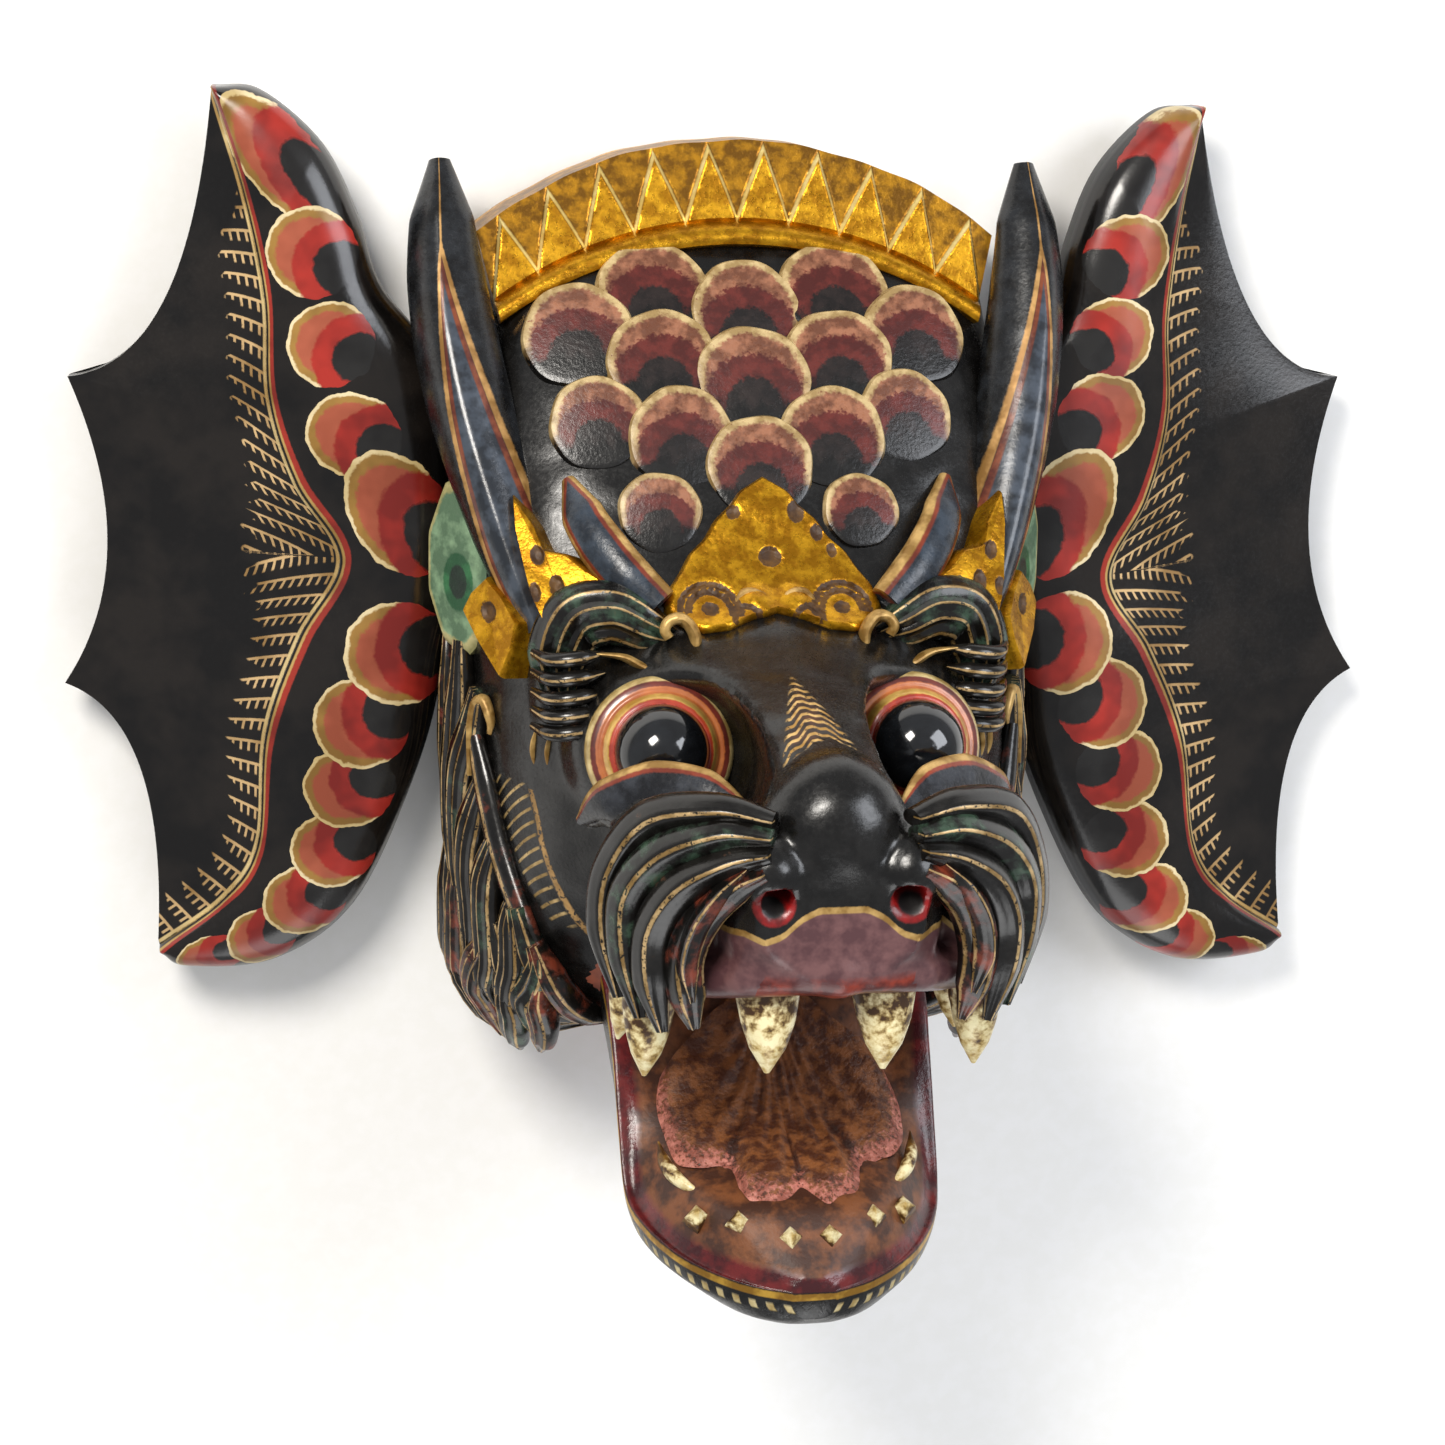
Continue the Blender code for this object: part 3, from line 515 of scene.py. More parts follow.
scaleParts = []
for number, (sx, sy, size) in enumerate(scales["rows"]):
    spot, normal = onHead(sx, sy)
    tilt = unit(normal - [0, 0.13, 0])
    axes = turnTo(tilt)
    a = np.linspace(0, 2 * pi, 56, endpoint=False)[None]
    r = np.concatenate([np.linspace(0.02, 0.9, 14), [0.95, 0.985, 1.0, 1.0]])[:, None]
    lift = 3.4 - 0.8 * r ** 2 - 2.6 * np.clip((r - 0.93) / 0.07, 0, 1) ** 2
    lift[-1] = -5
    edge = size * 0.96 * (1 + 0.02 * np.sin(3 * a + number) + 0.012 * np.sin(7 * a + 2 * number))
    local = np.stack([r * edge * np.cos(a), r * edge * np.sin(a), lift + 0 * a], axis=-1)
    q = r + 0 * a
    core = np.sqrt((r * np.cos(a)) ** 2 + (r * np.sin(a) + 0.42) ** 2)
    low = -(r * np.sin(a)) + 0.08 * np.sin(9 * a + number)
    scaleParts.append(gridPart((local @ axes + spot)[::-1], q=q[::-1], core=core[::-1], low=low[::-1]))
piece("forehead_scales", scaleParts, painted(**scales["look"]))

# Horns

longHorns = dict(
    form=dict(route=[(80, 48, 100), (91, 84, 84), (103, 128, 66), (110, 172, 50), (111, 214, 36)],
              widths=(8, 11, 13.5, 15, 16, 15.8, 14.6, 12, 4),
              heights=(12, 15, 17, 18, 18, 17, 14.5, 11, 4), up=(0.25, 0, 1), rows=70, cols=40, power=1.6),
    look=dict(
        label="black_lacquer_lined_in_gold_on_horns",  # polished blade with one thin leaf outline
        ground=("#0d0d0e", "#202225"), roughness=0.24, relief=0.1,
        layers=[
            dict(field="leaf", edge=(1.4, 1.8), hue=("#23272d", "#434a54"), rough=0.22),
            dict(field="leaf", edge=(-1.4, -1.0), hue=("#8a6430", "#bf945a"), metal=0.35, rough=0.4,
                 within=[("leaf", 0.4, 0.1)]),
            dict(field="leaf", edge=(0.2, 0.5), hue=("#4f2218", "#7a4028"), within=[("leaf", 1.9, 1.5)]),
        ],
    ),
)
hornPart = lock(**longHorns["form"])
leafHalf = 0.92 * np.clip((0.8 - hornPart["fields"]["along"]) / 0.62, 0, 1) ** 0.75 - 0.05
hornPart["fields"]["leaf"] = (leafHalf - np.abs(hornPart["fields"]["across"] + 0.15)) * 13
piece("long_horns", both([hornPart]), painted(**longHorns["look"]))

shortHorns = dict(
    form=dict(route=[(42, 62, 126), (55, 75, 119), (65, 89, 108), (70, 103, 92)],
              widths=(8, 9, 9, 8, 2.5), heights=(6, 7, 6, 5, 2), up=(0.25, 0, 1), rows=36, cols=28),
    look=dict(
        label="blue_black_lacquer_edged_in_red_and_gold",  # cool centre inside two warm outlines
        ground=("#1c222a", "#323b46"), roughness=0.28, relief=0.2,
        layers=[
            dict(field="inward", edge=(3.4, 2.9), hue=("#5c2418", "#7a3420")),
            dict(field="inward", edge=(2.0, 1.5), hue=goldPaint["hue"], metal=0.4, rough=0.4),
        ],
    ),
)
piece("short_horns", both([lock(**shortHorns["form"])]), painted(**shortHorns["look"]))

# Gilded plates: an outline filled from its middle, laid on the head and raised


def gildedPlate(outline, middle, lift, normal, foot=8.0, drops=(), arcs=(), laid=False, rings=30,
                points=120):
    corners = np.array(outline, float)
    closed = np.vstack([corners, corners[:1]])
    lengths = np.concatenate([[0], np.cumsum(np.linalg.norm(np.diff(closed, axis=0), axis=1))])
    walk = np.linspace(0, lengths[-1], points, endpoint=False)
    edge = np.stack([np.interp(walk, lengths, closed[:, i]) for i in range(3)], axis=-1)
    r = np.concatenate([np.linspace(0.03, 0.94, rings - 4), [0.975, 0.995, 1.0, 1.0]])
    rise = lift * (1 - 0.15 * r ** 2 - 0.75 * np.clip((r - 0.94) / 0.06, 0, 1) ** 2)
    rise[-1] = -foot
    centre = np.array(middle, float)
    spots = centre + (edge - centre) * r[:, None, None]
    if laid:
        spots[..., 2] = [[onHead(px, py)[0][2] for px, py, _ in row] for row in spots]
    n = unit(np.array(normal, float))
    hole = np.full(spots.shape[:2], 9.0)
    for dx, dy, size in arcs:
        bow = np.abs(np.hypot(spots[..., 0] - dx, (spots[..., 1] - dy) * 1.25) - size) - 0.6
        hole = np.minimum(hole, bow + 9 * (spots[..., 1] < dy - 1))
    for dx, dy, size, tall in drops:
        hole = np.minimum(hole, (np.hypot((spots[..., 0] - dx), (spots[..., 1] - dy) / tall) - size))
    rise = rise[:, None] - 1.3 * np.clip(0.5 - hole / 1.0, 0, 1)
    # painted shade: this field marks the pierced holes and cut arcs, which the gold paint darkens
    return gridPart((spots + n * rise[..., None])[::-1], tooth=np.full(spots.shape[:2], -40.0),
                    rub=(0.8 - hole * 0.4)[::-1])


def seated(outline):
    return [tuple(onHead(px, py)[0]) for px, py in outline]


plates = dict(
    plaqueHalf=[(0, 104), (9, 99), (13, 94), (19, 89), (23, 83), (29, 78), (33, 72), (38, 66), (40, 60),
                (36, 56), (28, 54), (18, 55), (9, 58), (0, 60)],
    eyelets=[(0, 76, 3.6, 0.8), (-24, 60, 2.6, 0.6), (24, 60, 2.6, 0.6), (11, 91, 2.6, 1.2),
             (18, 84, 1.8, 1.2), (23, 78, 1.4, 1.2), (-12, 91, 2.0, 1.0)],  # across, up, radius, how tall
    bows=[(-24, 59, 7.5), (24, 59, 7.5), (-24, 59, 10.5), (24, 59, 10.5), (-11, 57, 5), (11, 57, 5)],
    leafLine=[(90, 98, 94), (83, 88, 102), (80, 80, 108), (72, 79, 112), (66, 74, 117), (56, 68, 123),
              (46, 62, 129), (58, 60, 130), (66, 59, 130), (74, 57, 127), (82, 56, 124), (86, 65, 117),
              (88, 76, 108), (90, 88, 100)],
    leafDrops=[(82, 78, 1.9, 1.3), (76, 68, 2.0, 1.5), (84, 66, 1.6, 1.4), (68, 67, 1.4, 1.6)],
    flameLine=[(98, 68, 92), (103, 62, 88), (106, 55, 86), (102, 46, 98), (95, 34, 112), (91, 44, 112),
               (89, 54, 110), (93, 62, 101)],
    flameDrops=[(97, 56, 1.8, 1.6)],
)
plaqueHalf = plates["plaqueHalf"]
plaqueLine = plaqueHalf + [(-px, py) for px, py in plaqueHalf[-2:0:-1]]
plaque = gildedPlate(seated(plaqueLine), (0, 78, 120), 5.0, (0, 0.45, 0.9), drops=plates["eyelets"],
                     arcs=plates["bows"], laid=True)
leaf = gildedPlate(plates["leafLine"], (76, 69, 116), 3.0, (0.5, 0.25, 0.8), 16, plates["leafDrops"])
flame = gildedPlate(plates["flameLine"], (96, 53, 99), 3.0, (0.85, 0.1, 0.5), 12, plates["flameDrops"])
piece("gilded_plates", [plaque] + both([leaf, flame]), gold, sharp=50)

# Brows, curls and lids

lockLook = dict(
    label="lacquered_locks_lined_in_gold_paint",  # fine worn gold on each carved crest
    ground=("#0d0b09", "#1a1816"), roughness=0.2, relief=0.06,
    layers=[
        dict(field="green", edge=(0.4, 1.0), hue=("#1c2a24", "#3d5644"), rough=0.35, wobble=2.2,
             broad=True),
        dict(field="red", edge=(0.4, 0.95), hue=("#3c170e", "#7a3420"), rough=0.35, wobble=2.2, broad=True),
        dict(field="crest", edge=(0.105, 0.06), times=1.0, hue=("#84683a", "#c6a878"), metal=0.3,
             rough=0.42, wobble=0.14, wear=0.37, within=[("top", 0.1, 0.2)], raised=0.15),
        dict(field="gilt", edge=(0.4, 0.6), hue=("#84622c", "#c9a564"), metal=0.4, rough=0.4),
    ],
)
lockPaint = painted(**lockLook)


def carvedLock(route, width, height, up, strands=1.0, phase=0.0, groove=0.0, green=0.0, red=0.0, gilt=0.0,
               rows=44, cols=28, widths=(0.45, 0.95, 1.0, 0.9, 0.15)):
    made = lock(route, [width * v for v in widths], [height * v for v in (0.6, 1.0, 1.0, 0.8, 0.2)], up,
                rows, cols)
    f = made["fields"]
    a = np.tile(np.linspace(0, 2 * pi, cols, endpoint=False), rows)
    f["top"] = np.sin(a)
    f["crest"] = f["across"] * strands + phase
    f.update(green=np.full(len(a), green), red=np.full(len(a), red), gilt=np.full(len(a), gilt))
    if groove:
        path = np.repeat(spline(route, rows), cols, axis=0)
        wave = (np.cos(2 * pi * f["crest"]) - 1) * 0.5 * groove * np.clip(f["top"], 0, 1)
        made["points"] = made["points"] + unit(made["points"] - path) * wave[:, None]
    return made


brows = dict(
    arch=[(37, 51, 128), (47, 55, 128), (59, 60, 126), (71, 57, 123), (77, 44, 122), (76, 26, 124)],
    combs=(46, 39, 32, 25.5, 19.5),  # heights of the strokes beside each eye
    curl=[(66, 47, 134), (56, 46, 136), (49, 42.5, 137), (42, 41, 138), (35, 42.5, 138), (31, 48, 138),
          (31, 54.5, 138), (35, 59.5, 137), (39.5, 59, 137), (41.5, 56, 138), (40, 53, 138)],
    scroll=[(14, 52, 127), (15.5, 60, 127), (11, 67, 126), (4, 66, 128), (1.5, 60, 131)],
)
browParts = [carvedLock(brows["arch"], 11.5, 11, (0, 0.2, 1), strands=2.0, phase=0.3, groove=1.8, green=0.5,
                        rows=70, cols=44, widths=(0.4, 0.8, 1, 1.1, 1, 0.4))]
for up in brows["combs"]:
    browParts.append(carvedLock([(63, up + 1, 133), (72, up, 137), (81, up - 1, 134), (87, up, 124)],
                                2.9, 3.2, (0.3, 0, 1), strands=0.5, rows=24, cols=16,
                                widths=(0.3, 1, 1, 0.9, 0.5)))
browParts.append(carvedLock(brows["curl"], 2.2, 5.0, (0, 0.2, 1), gilt=1.0, rows=70, cols=14,
                            widths=(0.2, 0.7, 0.9, 1, 1, 1, 1, 0.9, 0.8)))
browParts.append(carvedLock(brows["scroll"], 1.3, 2.4, (0, 0, 1), gilt=1.0, rows=30, cols=10))
piece("brows", both(browParts), lockPaint)

lids = dict(
    form=dict(route=[(75, -5, 168), (68, 5, 184), (54, 12, 197), (39, 13, 210), (25, 8, 224)],
              widths=(2, 8, 10, 8.5, 2), heights=(2, 4, 4.5, 4, 1.5), up=(0, 0.25, 1), rows=60, cols=32),
    look=dict(
        label="black_lacquer_lids_edged_in_gold",  # smooth crescent with a bright upper edge
        ground=("#15161a", "#33363c"), roughness=0.26, relief=0.2,
        layers=[
            dict(field="across", edge=(0.55, 0.62), hue=("#6a2a1c", "#8a3c28"), wobble=0.1),
            dict(field="across", edge=(0.72, 0.78), hue=goldPaint["hue"], metal=0.4, rough=0.4, wobble=0.1),
        ],
    ),
)
piece("lower_lids", both([lock(**lids["form"])]), painted(**lids["look"]))

# Eyes

eyes = dict(
    profile=[(26.5, -24), (26.5, -3), (26.3, 1.5), (24.8, 4.4), (22.6, 5.6), (21, 5.9), (20.2, 7.4),
             (18.8, 9.8), (17.6, 10.6), (16.7, 11), (16.3, 14), (14.6, 18.8), (11.4, 22.8), (7.4, 25.5),
             (3.4, 26.7), (0.05, 27)],  # radius, height
    centre=[45, 15, 150],
    facing=(0.08, 0.2, 1),
    look=dict(
        label="glossy_black_eye_with_painted_rings",  # wet black dome inside bright bands
        ground=("#0c0d0f", "#15171a"), roughness=0.08, relief=0.03, coat=0.6,
        layers=[
            dict(field="ring", edge=(16.4, 16.7), hue=("#8f2a1c", "#b04028"), rough=0.3, wobble=0.9),
            dict(field="ring", edge=(18.2, 18.6), hue=("#b08430", "#d6ae5c"), metal=0.4, rough=0.38,
                 wobble=0.9),
            dict(field="ring", edge=(20.0, 20.4), hue=("#a0562c", "#b86c3a"), rough=0.35, wobble=0.9),
            dict(field="ring", edge=(22.6, 23.0), hue=("#4a1a14", "#6c2a20"), rough=0.35, wobble=0.9),
            dict(field="ring", edge=(24.4, 24.8), hue=("#9a8048", "#cdb67c"), metal=0.2, rough=0.4,
                 wobble=0.6),
            dict(field="ring", edge=(26.6, 27.0), hue=black, rough=0.3, wobble=0.4),
        ],
    ),
)
eyeProfile = spline(eyes["profile"], 90)
a = np.linspace(0, 2 * pi, 72, endpoint=False)
eyeRadius, eyeHeight = eyeProfile[:, :1], eyeProfile[:, 1:]
local = np.stack([eyeRadius * np.cos(a), eyeRadius * np.sin(a), eyeHeight + 0 * a], axis=-1)
ring = np.where(eyeProfile[:, 1] < 1, 27 + (1 - eyeProfile[:, 1]) * 0.3, eyeProfile[:, 0])[:, None] + 0 * a
eye = gridPart(local @ turnTo(eyes["facing"]) + eyes["centre"], ring=ring)
piece("eyes", both([eye]), painted(**eyes["look"]))

# Whiskers

whiskers = dict(
    routes=[  # points, half width, colour
        (((23, 13, 250), (40, 15, 242), (60, 9, 228), (71, -10, 218), (73, -31, 217), (69, -54, 219)), 7.4,
         dict()),
        (((24, 8, 253), (40, 8, 246), (57, -1, 235), (67, -17, 227), (67, -38, 226), (63, -59, 227)), 7.4,
         dict(green=0.45)),
        (((25, 3, 255), (38, -1, 249), (52, -11, 241), (60, -27, 234), (60, -45, 232), (56, -63, 231)),
         7.2, dict()),
        (((26, -3, 255), (35, -9, 249), (45, -20, 243), (50, -35, 238), (49, -49, 237), (46, -61, 235)),
         7.0, dict(red=0.45)),
        (((32, -2, 252), (40, -10, 250), (47, -22, 246), (50, -36, 243), (48, -50, 241)), 4.2,
         dict(red=0.45)),
    ],
    shape=dict(height=8.2, up=(0.35, 0, 1), strands=0.85, phase=0.12, groove=1.0, rows=64, cols=36,
               widths=(0.4, 0.8, 1.0, 1.0, 0.95, 0.3)),
)
whiskerParts = []
for route, width, hues in whiskers["routes"]:
    whiskerParts.append(carvedLock(route, width, **whiskers["shape"], **hues))
piece("whiskers", both(whiskerParts), lockPaint)

# Mane

mane = dict(
    locks=[  # height and depth at the root and at the tip, half width, colour
        (46, 44, -56, 36, 9, dict(red=0.3)), (40, 60, -64, 50, 9, dict()),
        (24, 76, -70, 62, 9.5, dict(green=0.3)), (-8, 84, -84, 72, 9.5, dict()),
        (-30, 95, -97, 82, 9.5, dict(green=0.3)), (-48, 106, -101, 92, 9, dict()),
        (-44, 62, -109, 52, 9.5, dict(red=0.6)), (-40, 40, -108, 38, 9.5, dict()),
        (-66, 113, -104, 101, 8, dict(green=0.6)), (-66, 88, -111, 72, 9, dict(red=0.6)),
        (-74, 22, -109, 26, 9, dict()), (-84, 60, -112, 58, 8, dict(green=0.3)),
        (-80, 116, -110, 98, 7.5, dict(red=0.5)), (-84, 100, -113, 84, 8.5, dict(green=0.5)),
    ],
    lowLocks=[  # points, half width, colour
        ([(90, -52, 106), (84, -72, 106), (74, -88, 102), (60, -99, 95)], 9.5, dict(green=0.5)),
        ([(84, -64, 114), (77, -80, 113), (67, -91, 108), (52, -98, 100)], 8.0, dict(red=0.5)),
        ([(97, -60, 94), (92, -80, 92), (82, -96, 86), (66, -105, 78)], 9.5, dict()),
        ([(95, -84, 76), (86, -98, 72), (74, -106, 68), (58, -110, 64)], 9.0, dict()),
    ],
    shape=dict(strands=2.0, phase=0.25, groove=1.2, cols=44),
    strap=[(103, 12, 78), (99, -10, 86), (94, -35, 95), (86, -60, 108), (75, -80, 117)],
    hook=[(104, -8, 82), (103.5, 8, 81), (102, 19, 82), (99.5, 21, 86), (97.5, 14, 89), (98, 9, 89)],
)
maneParts = []
for number, (rootY, rootZ, tipY, tipZ, width, hues) in enumerate(mane["locks"]):
    share = np.linspace(0, 1, 7)
    lockY = rootY + (tipY - rootY) * share
    wave = 0.06 * (rootY - tipY) * np.sin(share * 5.4 + number * 0.9) * (1 - share ** 3)
    lockZ = rootZ + (tipZ - rootZ) * share + wave
    lockX = np.interp(lockZ, (15, 45, 70, 92, 112), (102, 106.5, 105, 97, 82))  # along the head's side
    lockX = lockX - 0.55 * np.clip(-86 - lockY, 0, 40)
    route = np.stack([lockX, lockY, lockZ], axis=-1)
    maneParts.append(carvedLock(route, width, 6.0, (1, -0.25, 0.25), rows=56, **mane["shape"], **hues))
for route, width, hues in mane["lowLocks"]:
    maneParts.append(carvedLock(route, width, 6.5, (1, -0.4, 0.5), rows=50, **mane["shape"], **hues))
maneParts.append(carvedLock(mane["strap"], 6.0, 4.2, (1, 0, 0.5), strands=0.5, red=0.3, rows=50, cols=20))
maneParts.append(carvedLock(mane["hook"], 1.9, 2.6, (1, 0, 0.4), gilt=1.0, rows=50, cols=12,
                            widths=(0.2, 0.8, 1, 1, 0.8)))
for back in (0, 4.5):  # two short gold strokes beside each eye
    stroke = [(79 + back, 15, 119 - back * 1.4), (80 + back, 8, 118.5 - back * 1.4),
              (79 + back, 1, 118 - back * 1.4)]
    maneParts.append(carvedLock(stroke, 0.9, 1.8, (1, 0, 0.6), gilt=1.0, rows=20, cols=10))
piece("mane", both(maneParts), lockPaint)

# Side ears

ears = dict(
    half=(19, 34),
    stand=3.0,  # mm above the head's side
    centre=[105, 68, 66],
    facing=(0.8, 0, 0.6),
    look=dict(
        label="green_distemper_over_lacquer_on_ears",  # chalky green with a dark painted eye
        ground=("#4f6a50", "#7d9a78"), roughness=0.5, relief=0.3,
        layers=[
            dict(field="eye", edge=(1.05, 0.95), hue=("#1c4a2c", "#2f6a40"), rough=0.4, wobble=0.2),
            dict(field="eye", edge=(0.62, 0.55), hue=("#0c1f14", "#15301f"), rough=0.35, wobble=0.2),
            dict(field="q", edge=(0.84, 0.88), hue=("#8f8a58", "#b3aa78"), rough=0.45, wobble=0.1),
        ],
    ),
)
a = np.linspace(0, 2 * pi, 120, endpoint=False)[None]
r = np.concatenate([np.linspace(0.03, 0.92, 20), [0.97, 1.0, 1.0]])[:, None]
edge = 1 - 0.05 * np.abs(np.cos(4.5 * a))
lift = ears["stand"] * (1 - 0.3 * r ** 2 - 0.6 * np.clip((r - 0.92) / 0.08, 0, 1))
lift[-1] = -11
earHalf, earTall = ears["half"]
local = np.stack([earHalf * r * edge * np.cos(a), earTall * r * edge * np.sin(a), lift + 0 * a], axis=-1)
earEye = np.hypot(local[..., 0] / 8, (local[..., 1] + 6) / 11)
earPoints = local @ turnTo(ears["facing"]) + ears["centre"]
earPart = gridPart(earPoints[::-1], q=(r + 0 * a)[::-1], eye=earEye[::-1])
piece("side_ears", both([earPart]), painted(**ears["look"]))

# Lower jaw

jaw = dict(
    rows=[  # out, half width, rim, floor, foot
        (84, 60, -74, -62, -116), (104, 60, -72, -62, -128), (126, 60, -80, -84, -142),
        (140, 59, -98, -104, -152), (152, 58.5, -122, -115, -160), (164, 57.5, -143, -123, -166),
        (180, 53, -150, -129, -171), (196, 44, -155, -133, -174), (208, 33, -158, -137, -176),
        (217, 21, -160, -148, -175), (223, 8, -161, -156, -171)],
    wall=[(0.985, 0.25), (0.95, 0.5), (0.72, 0.86)],  # shares of the half width and of the way to the foot
    look=dict(
        label="dark_red_and_black_lacquer_on_jaw",  # red inner lip, gold edge, dotted fringe
        ground=black, roughness=0.28, relief=0.25,
        layers=[
            dict(field="rim", edge=(0.2, -0.4), hue=("#3a1418", "#641f20"), rough=0.25),
            dict(field="rim", edge=(-6.5, -9.5), hue=("#3c2012", "#744424"), rough=0.52, wobble=3.0,
                 raised=0.2),
            dict(field="rim", edge=(0.2, 0.7), hue=("#8a6420", "#c49a3c"), metal=0.5, rough=0.38,
                 within=[("rim", 3.2, 2.7)]),
            dict(field="walk", times=1 / 6.4, edge=(0.24, 0.17), hue=("#9a8350", "#c9b98a"), metal=0.3,
                 rough=0.45, wobble=0.1, within=[("rim", 4.4, 5.4), ("rim", 8.6, 7.6), ("walk", 78, 80)],
                 raised=0.6),
        ],
    ),
)
jawRows = np.array(jaw["rows"], float)
jawRings = spline(jawRows, 120)
jawLoops = []
for out, half, rim, floor, foot in jawRings:
    inner = rim + 0.35 * (floor - rim)
    top = [(-1, rim), (-0.93, rim), (-0.86, inner), (-0.74, floor - 3), (-0.4, floor), (0, floor),
           (0.4, floor), (0.74, floor - 3), (0.86, inner), (0.93, rim), (1, rim)]
    wall = [(share, rim + fall * (foot - rim)) for share, fall in jaw["wall"]]
    low = wall + [(0.36, foot), (-0.36, foot)] + [(-share, up) for share, up in wall[::-1]]
    jawLoops.append([(share * half, up, out) for share, up in top + low])
jawLoops = np.array(jawLoops)
count = 96
place = np.linspace(0, jawLoops.shape[1], count, endpoint=False)
k = place.astype(int)
between = (place - k)[None, :, None]
jawGrid = jawLoops[:, k] * (1 - between) + jawLoops[:, (k + 1) % jawLoops.shape[1]] * between
for _ in range(2):
    jawGrid = 0.25 * np.roll(jawGrid, 1, 1) + 0.5 * jawGrid + 0.25 * np.roll(jawGrid, -1, 1)
ringStep = np.linalg.norm(np.roll(jawGrid, -1, 1) - jawGrid, axis=2)
walk = np.cumsum(ringStep, axis=1) - ringStep
rimRight = walk[:, int(np.argmin(abs(place - 10)))]
toLeft = np.minimum(walk, walk[:, -1:] + ringStep[:, -1:] - walk)
toRight = np.abs(walk - rimRight[:, None])
outside = place >= 10
rimGap = np.where(outside[None], 1, -1) * np.minimum(toLeft, toRight)
edgeWalk = np.concatenate([[0], np.cumsum(np.linalg.norm(np.diff(jawGrid[:, 0], axis=0), axis=1))])[:, None]
jawPart = gridPart(jawGrid, rim=rimGap, walk=edgeWalk + 0 * rimGap)
piece("lower_jaw", [jawPart], painted(**jaw["look"]), sharp=60)

# Tongue: a fan of scalloped lobes on the jaw's floor

tongue = dict(
    lobes=4,
    half=47,
    spread=1.4,  # radians that the fan opens to each side
    look=dict(
        label="brown_and_pink_paint_rubbed_on_tongue",  # dry brown body, pink where it catches
        ground=("#4a2614", "#84502a"), roughness=0.46, relief=0.8, worn=5.0,
        layers=[
            # painted shade: dark brown lines along the creases between the lobes
            dict(field="vein", edge=(0.6, 0.8), hue=("#2c140a", "#4a2412"), rough=0.5, wobble=0.5),
            dict(field="q", edge=(0.92, 0.97), hue=("#8a4a3a", "#c07868"), rough=0.42, wobble=0.24,
                 wear=0.36, raised=0.3),
        ],
    ),
)
a = np.linspace(-1, 1, 141)[:, None]
r = np.linspace(0, 1, 40)[None]
lobeShare = a * tongue["lobes"] / 2 + 0.12 * np.sin(5 * a)
reach = 1 - 0.16 * np.abs(np.cos(lobeShare * pi)) ** 5 + 0.02 * np.sin(17 * a + 1)
fan = a * tongue["spread"]
tongueX = tongue["half"] * np.sin(fan) / np.sin(tongue["spread"]) * r * reach * (0.8 + 0.2 * r)
tongueZ = 118 + 88 * np.cos(fan) * r * reach * 0.88 + 12 * r
floorY = np.interp(tongueZ, jawRows[:, 0], jawRows[:, 3])
# painted shade: this field runs along the creases between the lobes, where the swell falls to nothing
vein = np.abs(np.cos(lobeShare * pi)) ** 14
swell = np.abs(np.sin(lobeShare * pi)) ** 0.7 * np.clip(r * 1.8 - 0.8, 0, 1)
grain = 0.7 * np.sin(a * 23 + 5 * r) * np.sin(r * 13 + 3 * a) + 0.4 * np.sin(41 * a + 9 * r)
sideFall = 3 * (np.abs(tongueX) / tongue["half"]) ** 3
tongueY = floorY + 3.0 - 3.4 * r ** 12 + 5.5 * swell * (1 - r ** 10) + grain - sideFall
tonguePart = gridPart(np.stack([tongueX, tongueY, tongueZ], axis=-1)[:, ::-1], closed=False, capped=False,
                      q=(r + 0 * a)[:, ::-1], vein=(vein * r)[:, ::-1])
piece("tongue", [tonguePart], painted(**tongue["look"]))

# Fangs and lower teeth


def fang(foot, tip, radius, bend=(0, 0, 1.5)):
    foot, tip = np.array(foot, float), np.array(tip, float)
    route = [foot - (tip - foot) * 0.3, foot, (foot + tip) / 2 + bend, tip]
    return lock([tuple(p) for p in route], [radius * v for v in (0.9, 1.08, 1.1, 0.92, 0.62, 0.1)],
                [radius * v for v in (0.9, 1.0, 0.95, 0.78, 0.52, 0.1)], (0, 0.1, 1), rows=36, cols=24)


fangs = dict(
    upper=[((20, -49, 228), (20, -79, 230), 10.2), ((57, -58, 208), (58, -86, 206), 8.4),
           ((57, -60, 170), (61, -85, 166), 7.0)],  # root, tip, radius
    lower=[(7, -144, 214), (24, -140, 207), (37, -141, 197)],
    crescent=dict(route=[(46, -124, 166), (44.5, -130, 174), (40, -134, 182), (34, -136, 188)],
                  widths=(0.3, 2.2, 2.6, 1.8, 0.3), heights=(0.3, 2.5, 3, 2, 0.3), up=(0, 1, 0.2),
                  rows=24, cols=12),
    look=dict(
        label="ivory_paint_stained_brown_on_fangs",  # pale tip, brown worn into the root
        ground=("#b79a58", "#e9deb0"), roughness=0.3, relief=0.2, worn=5.0,
        layers=[dict(field="along", edge=(0.72, 0.35), hue=("#3f260c", "#8a6426"), rough=0.4, wobble=2.2,
                     broad=True)],
    ),
)
fangParts = [fang(*each) for each in fangs["upper"]]
toothParts = [lock(**fangs["crescent"])]
for toothX, toothY, toothZ in fangs["lower"]:
    route = [(toothX, toothY - 3, toothZ - 3), (toothX, toothY, toothZ), (toothX, toothY + 2.5, toothZ + 3)]
    toothParts.append(lock(route, (5, 4.2, 0.2), (5, 4.2, 0.2), (0, 1, 0), rows=12, cols=4))
piece("fangs", both(fangParts + toothParts), painted(**fangs["look"]), sharp=50)

# Wings

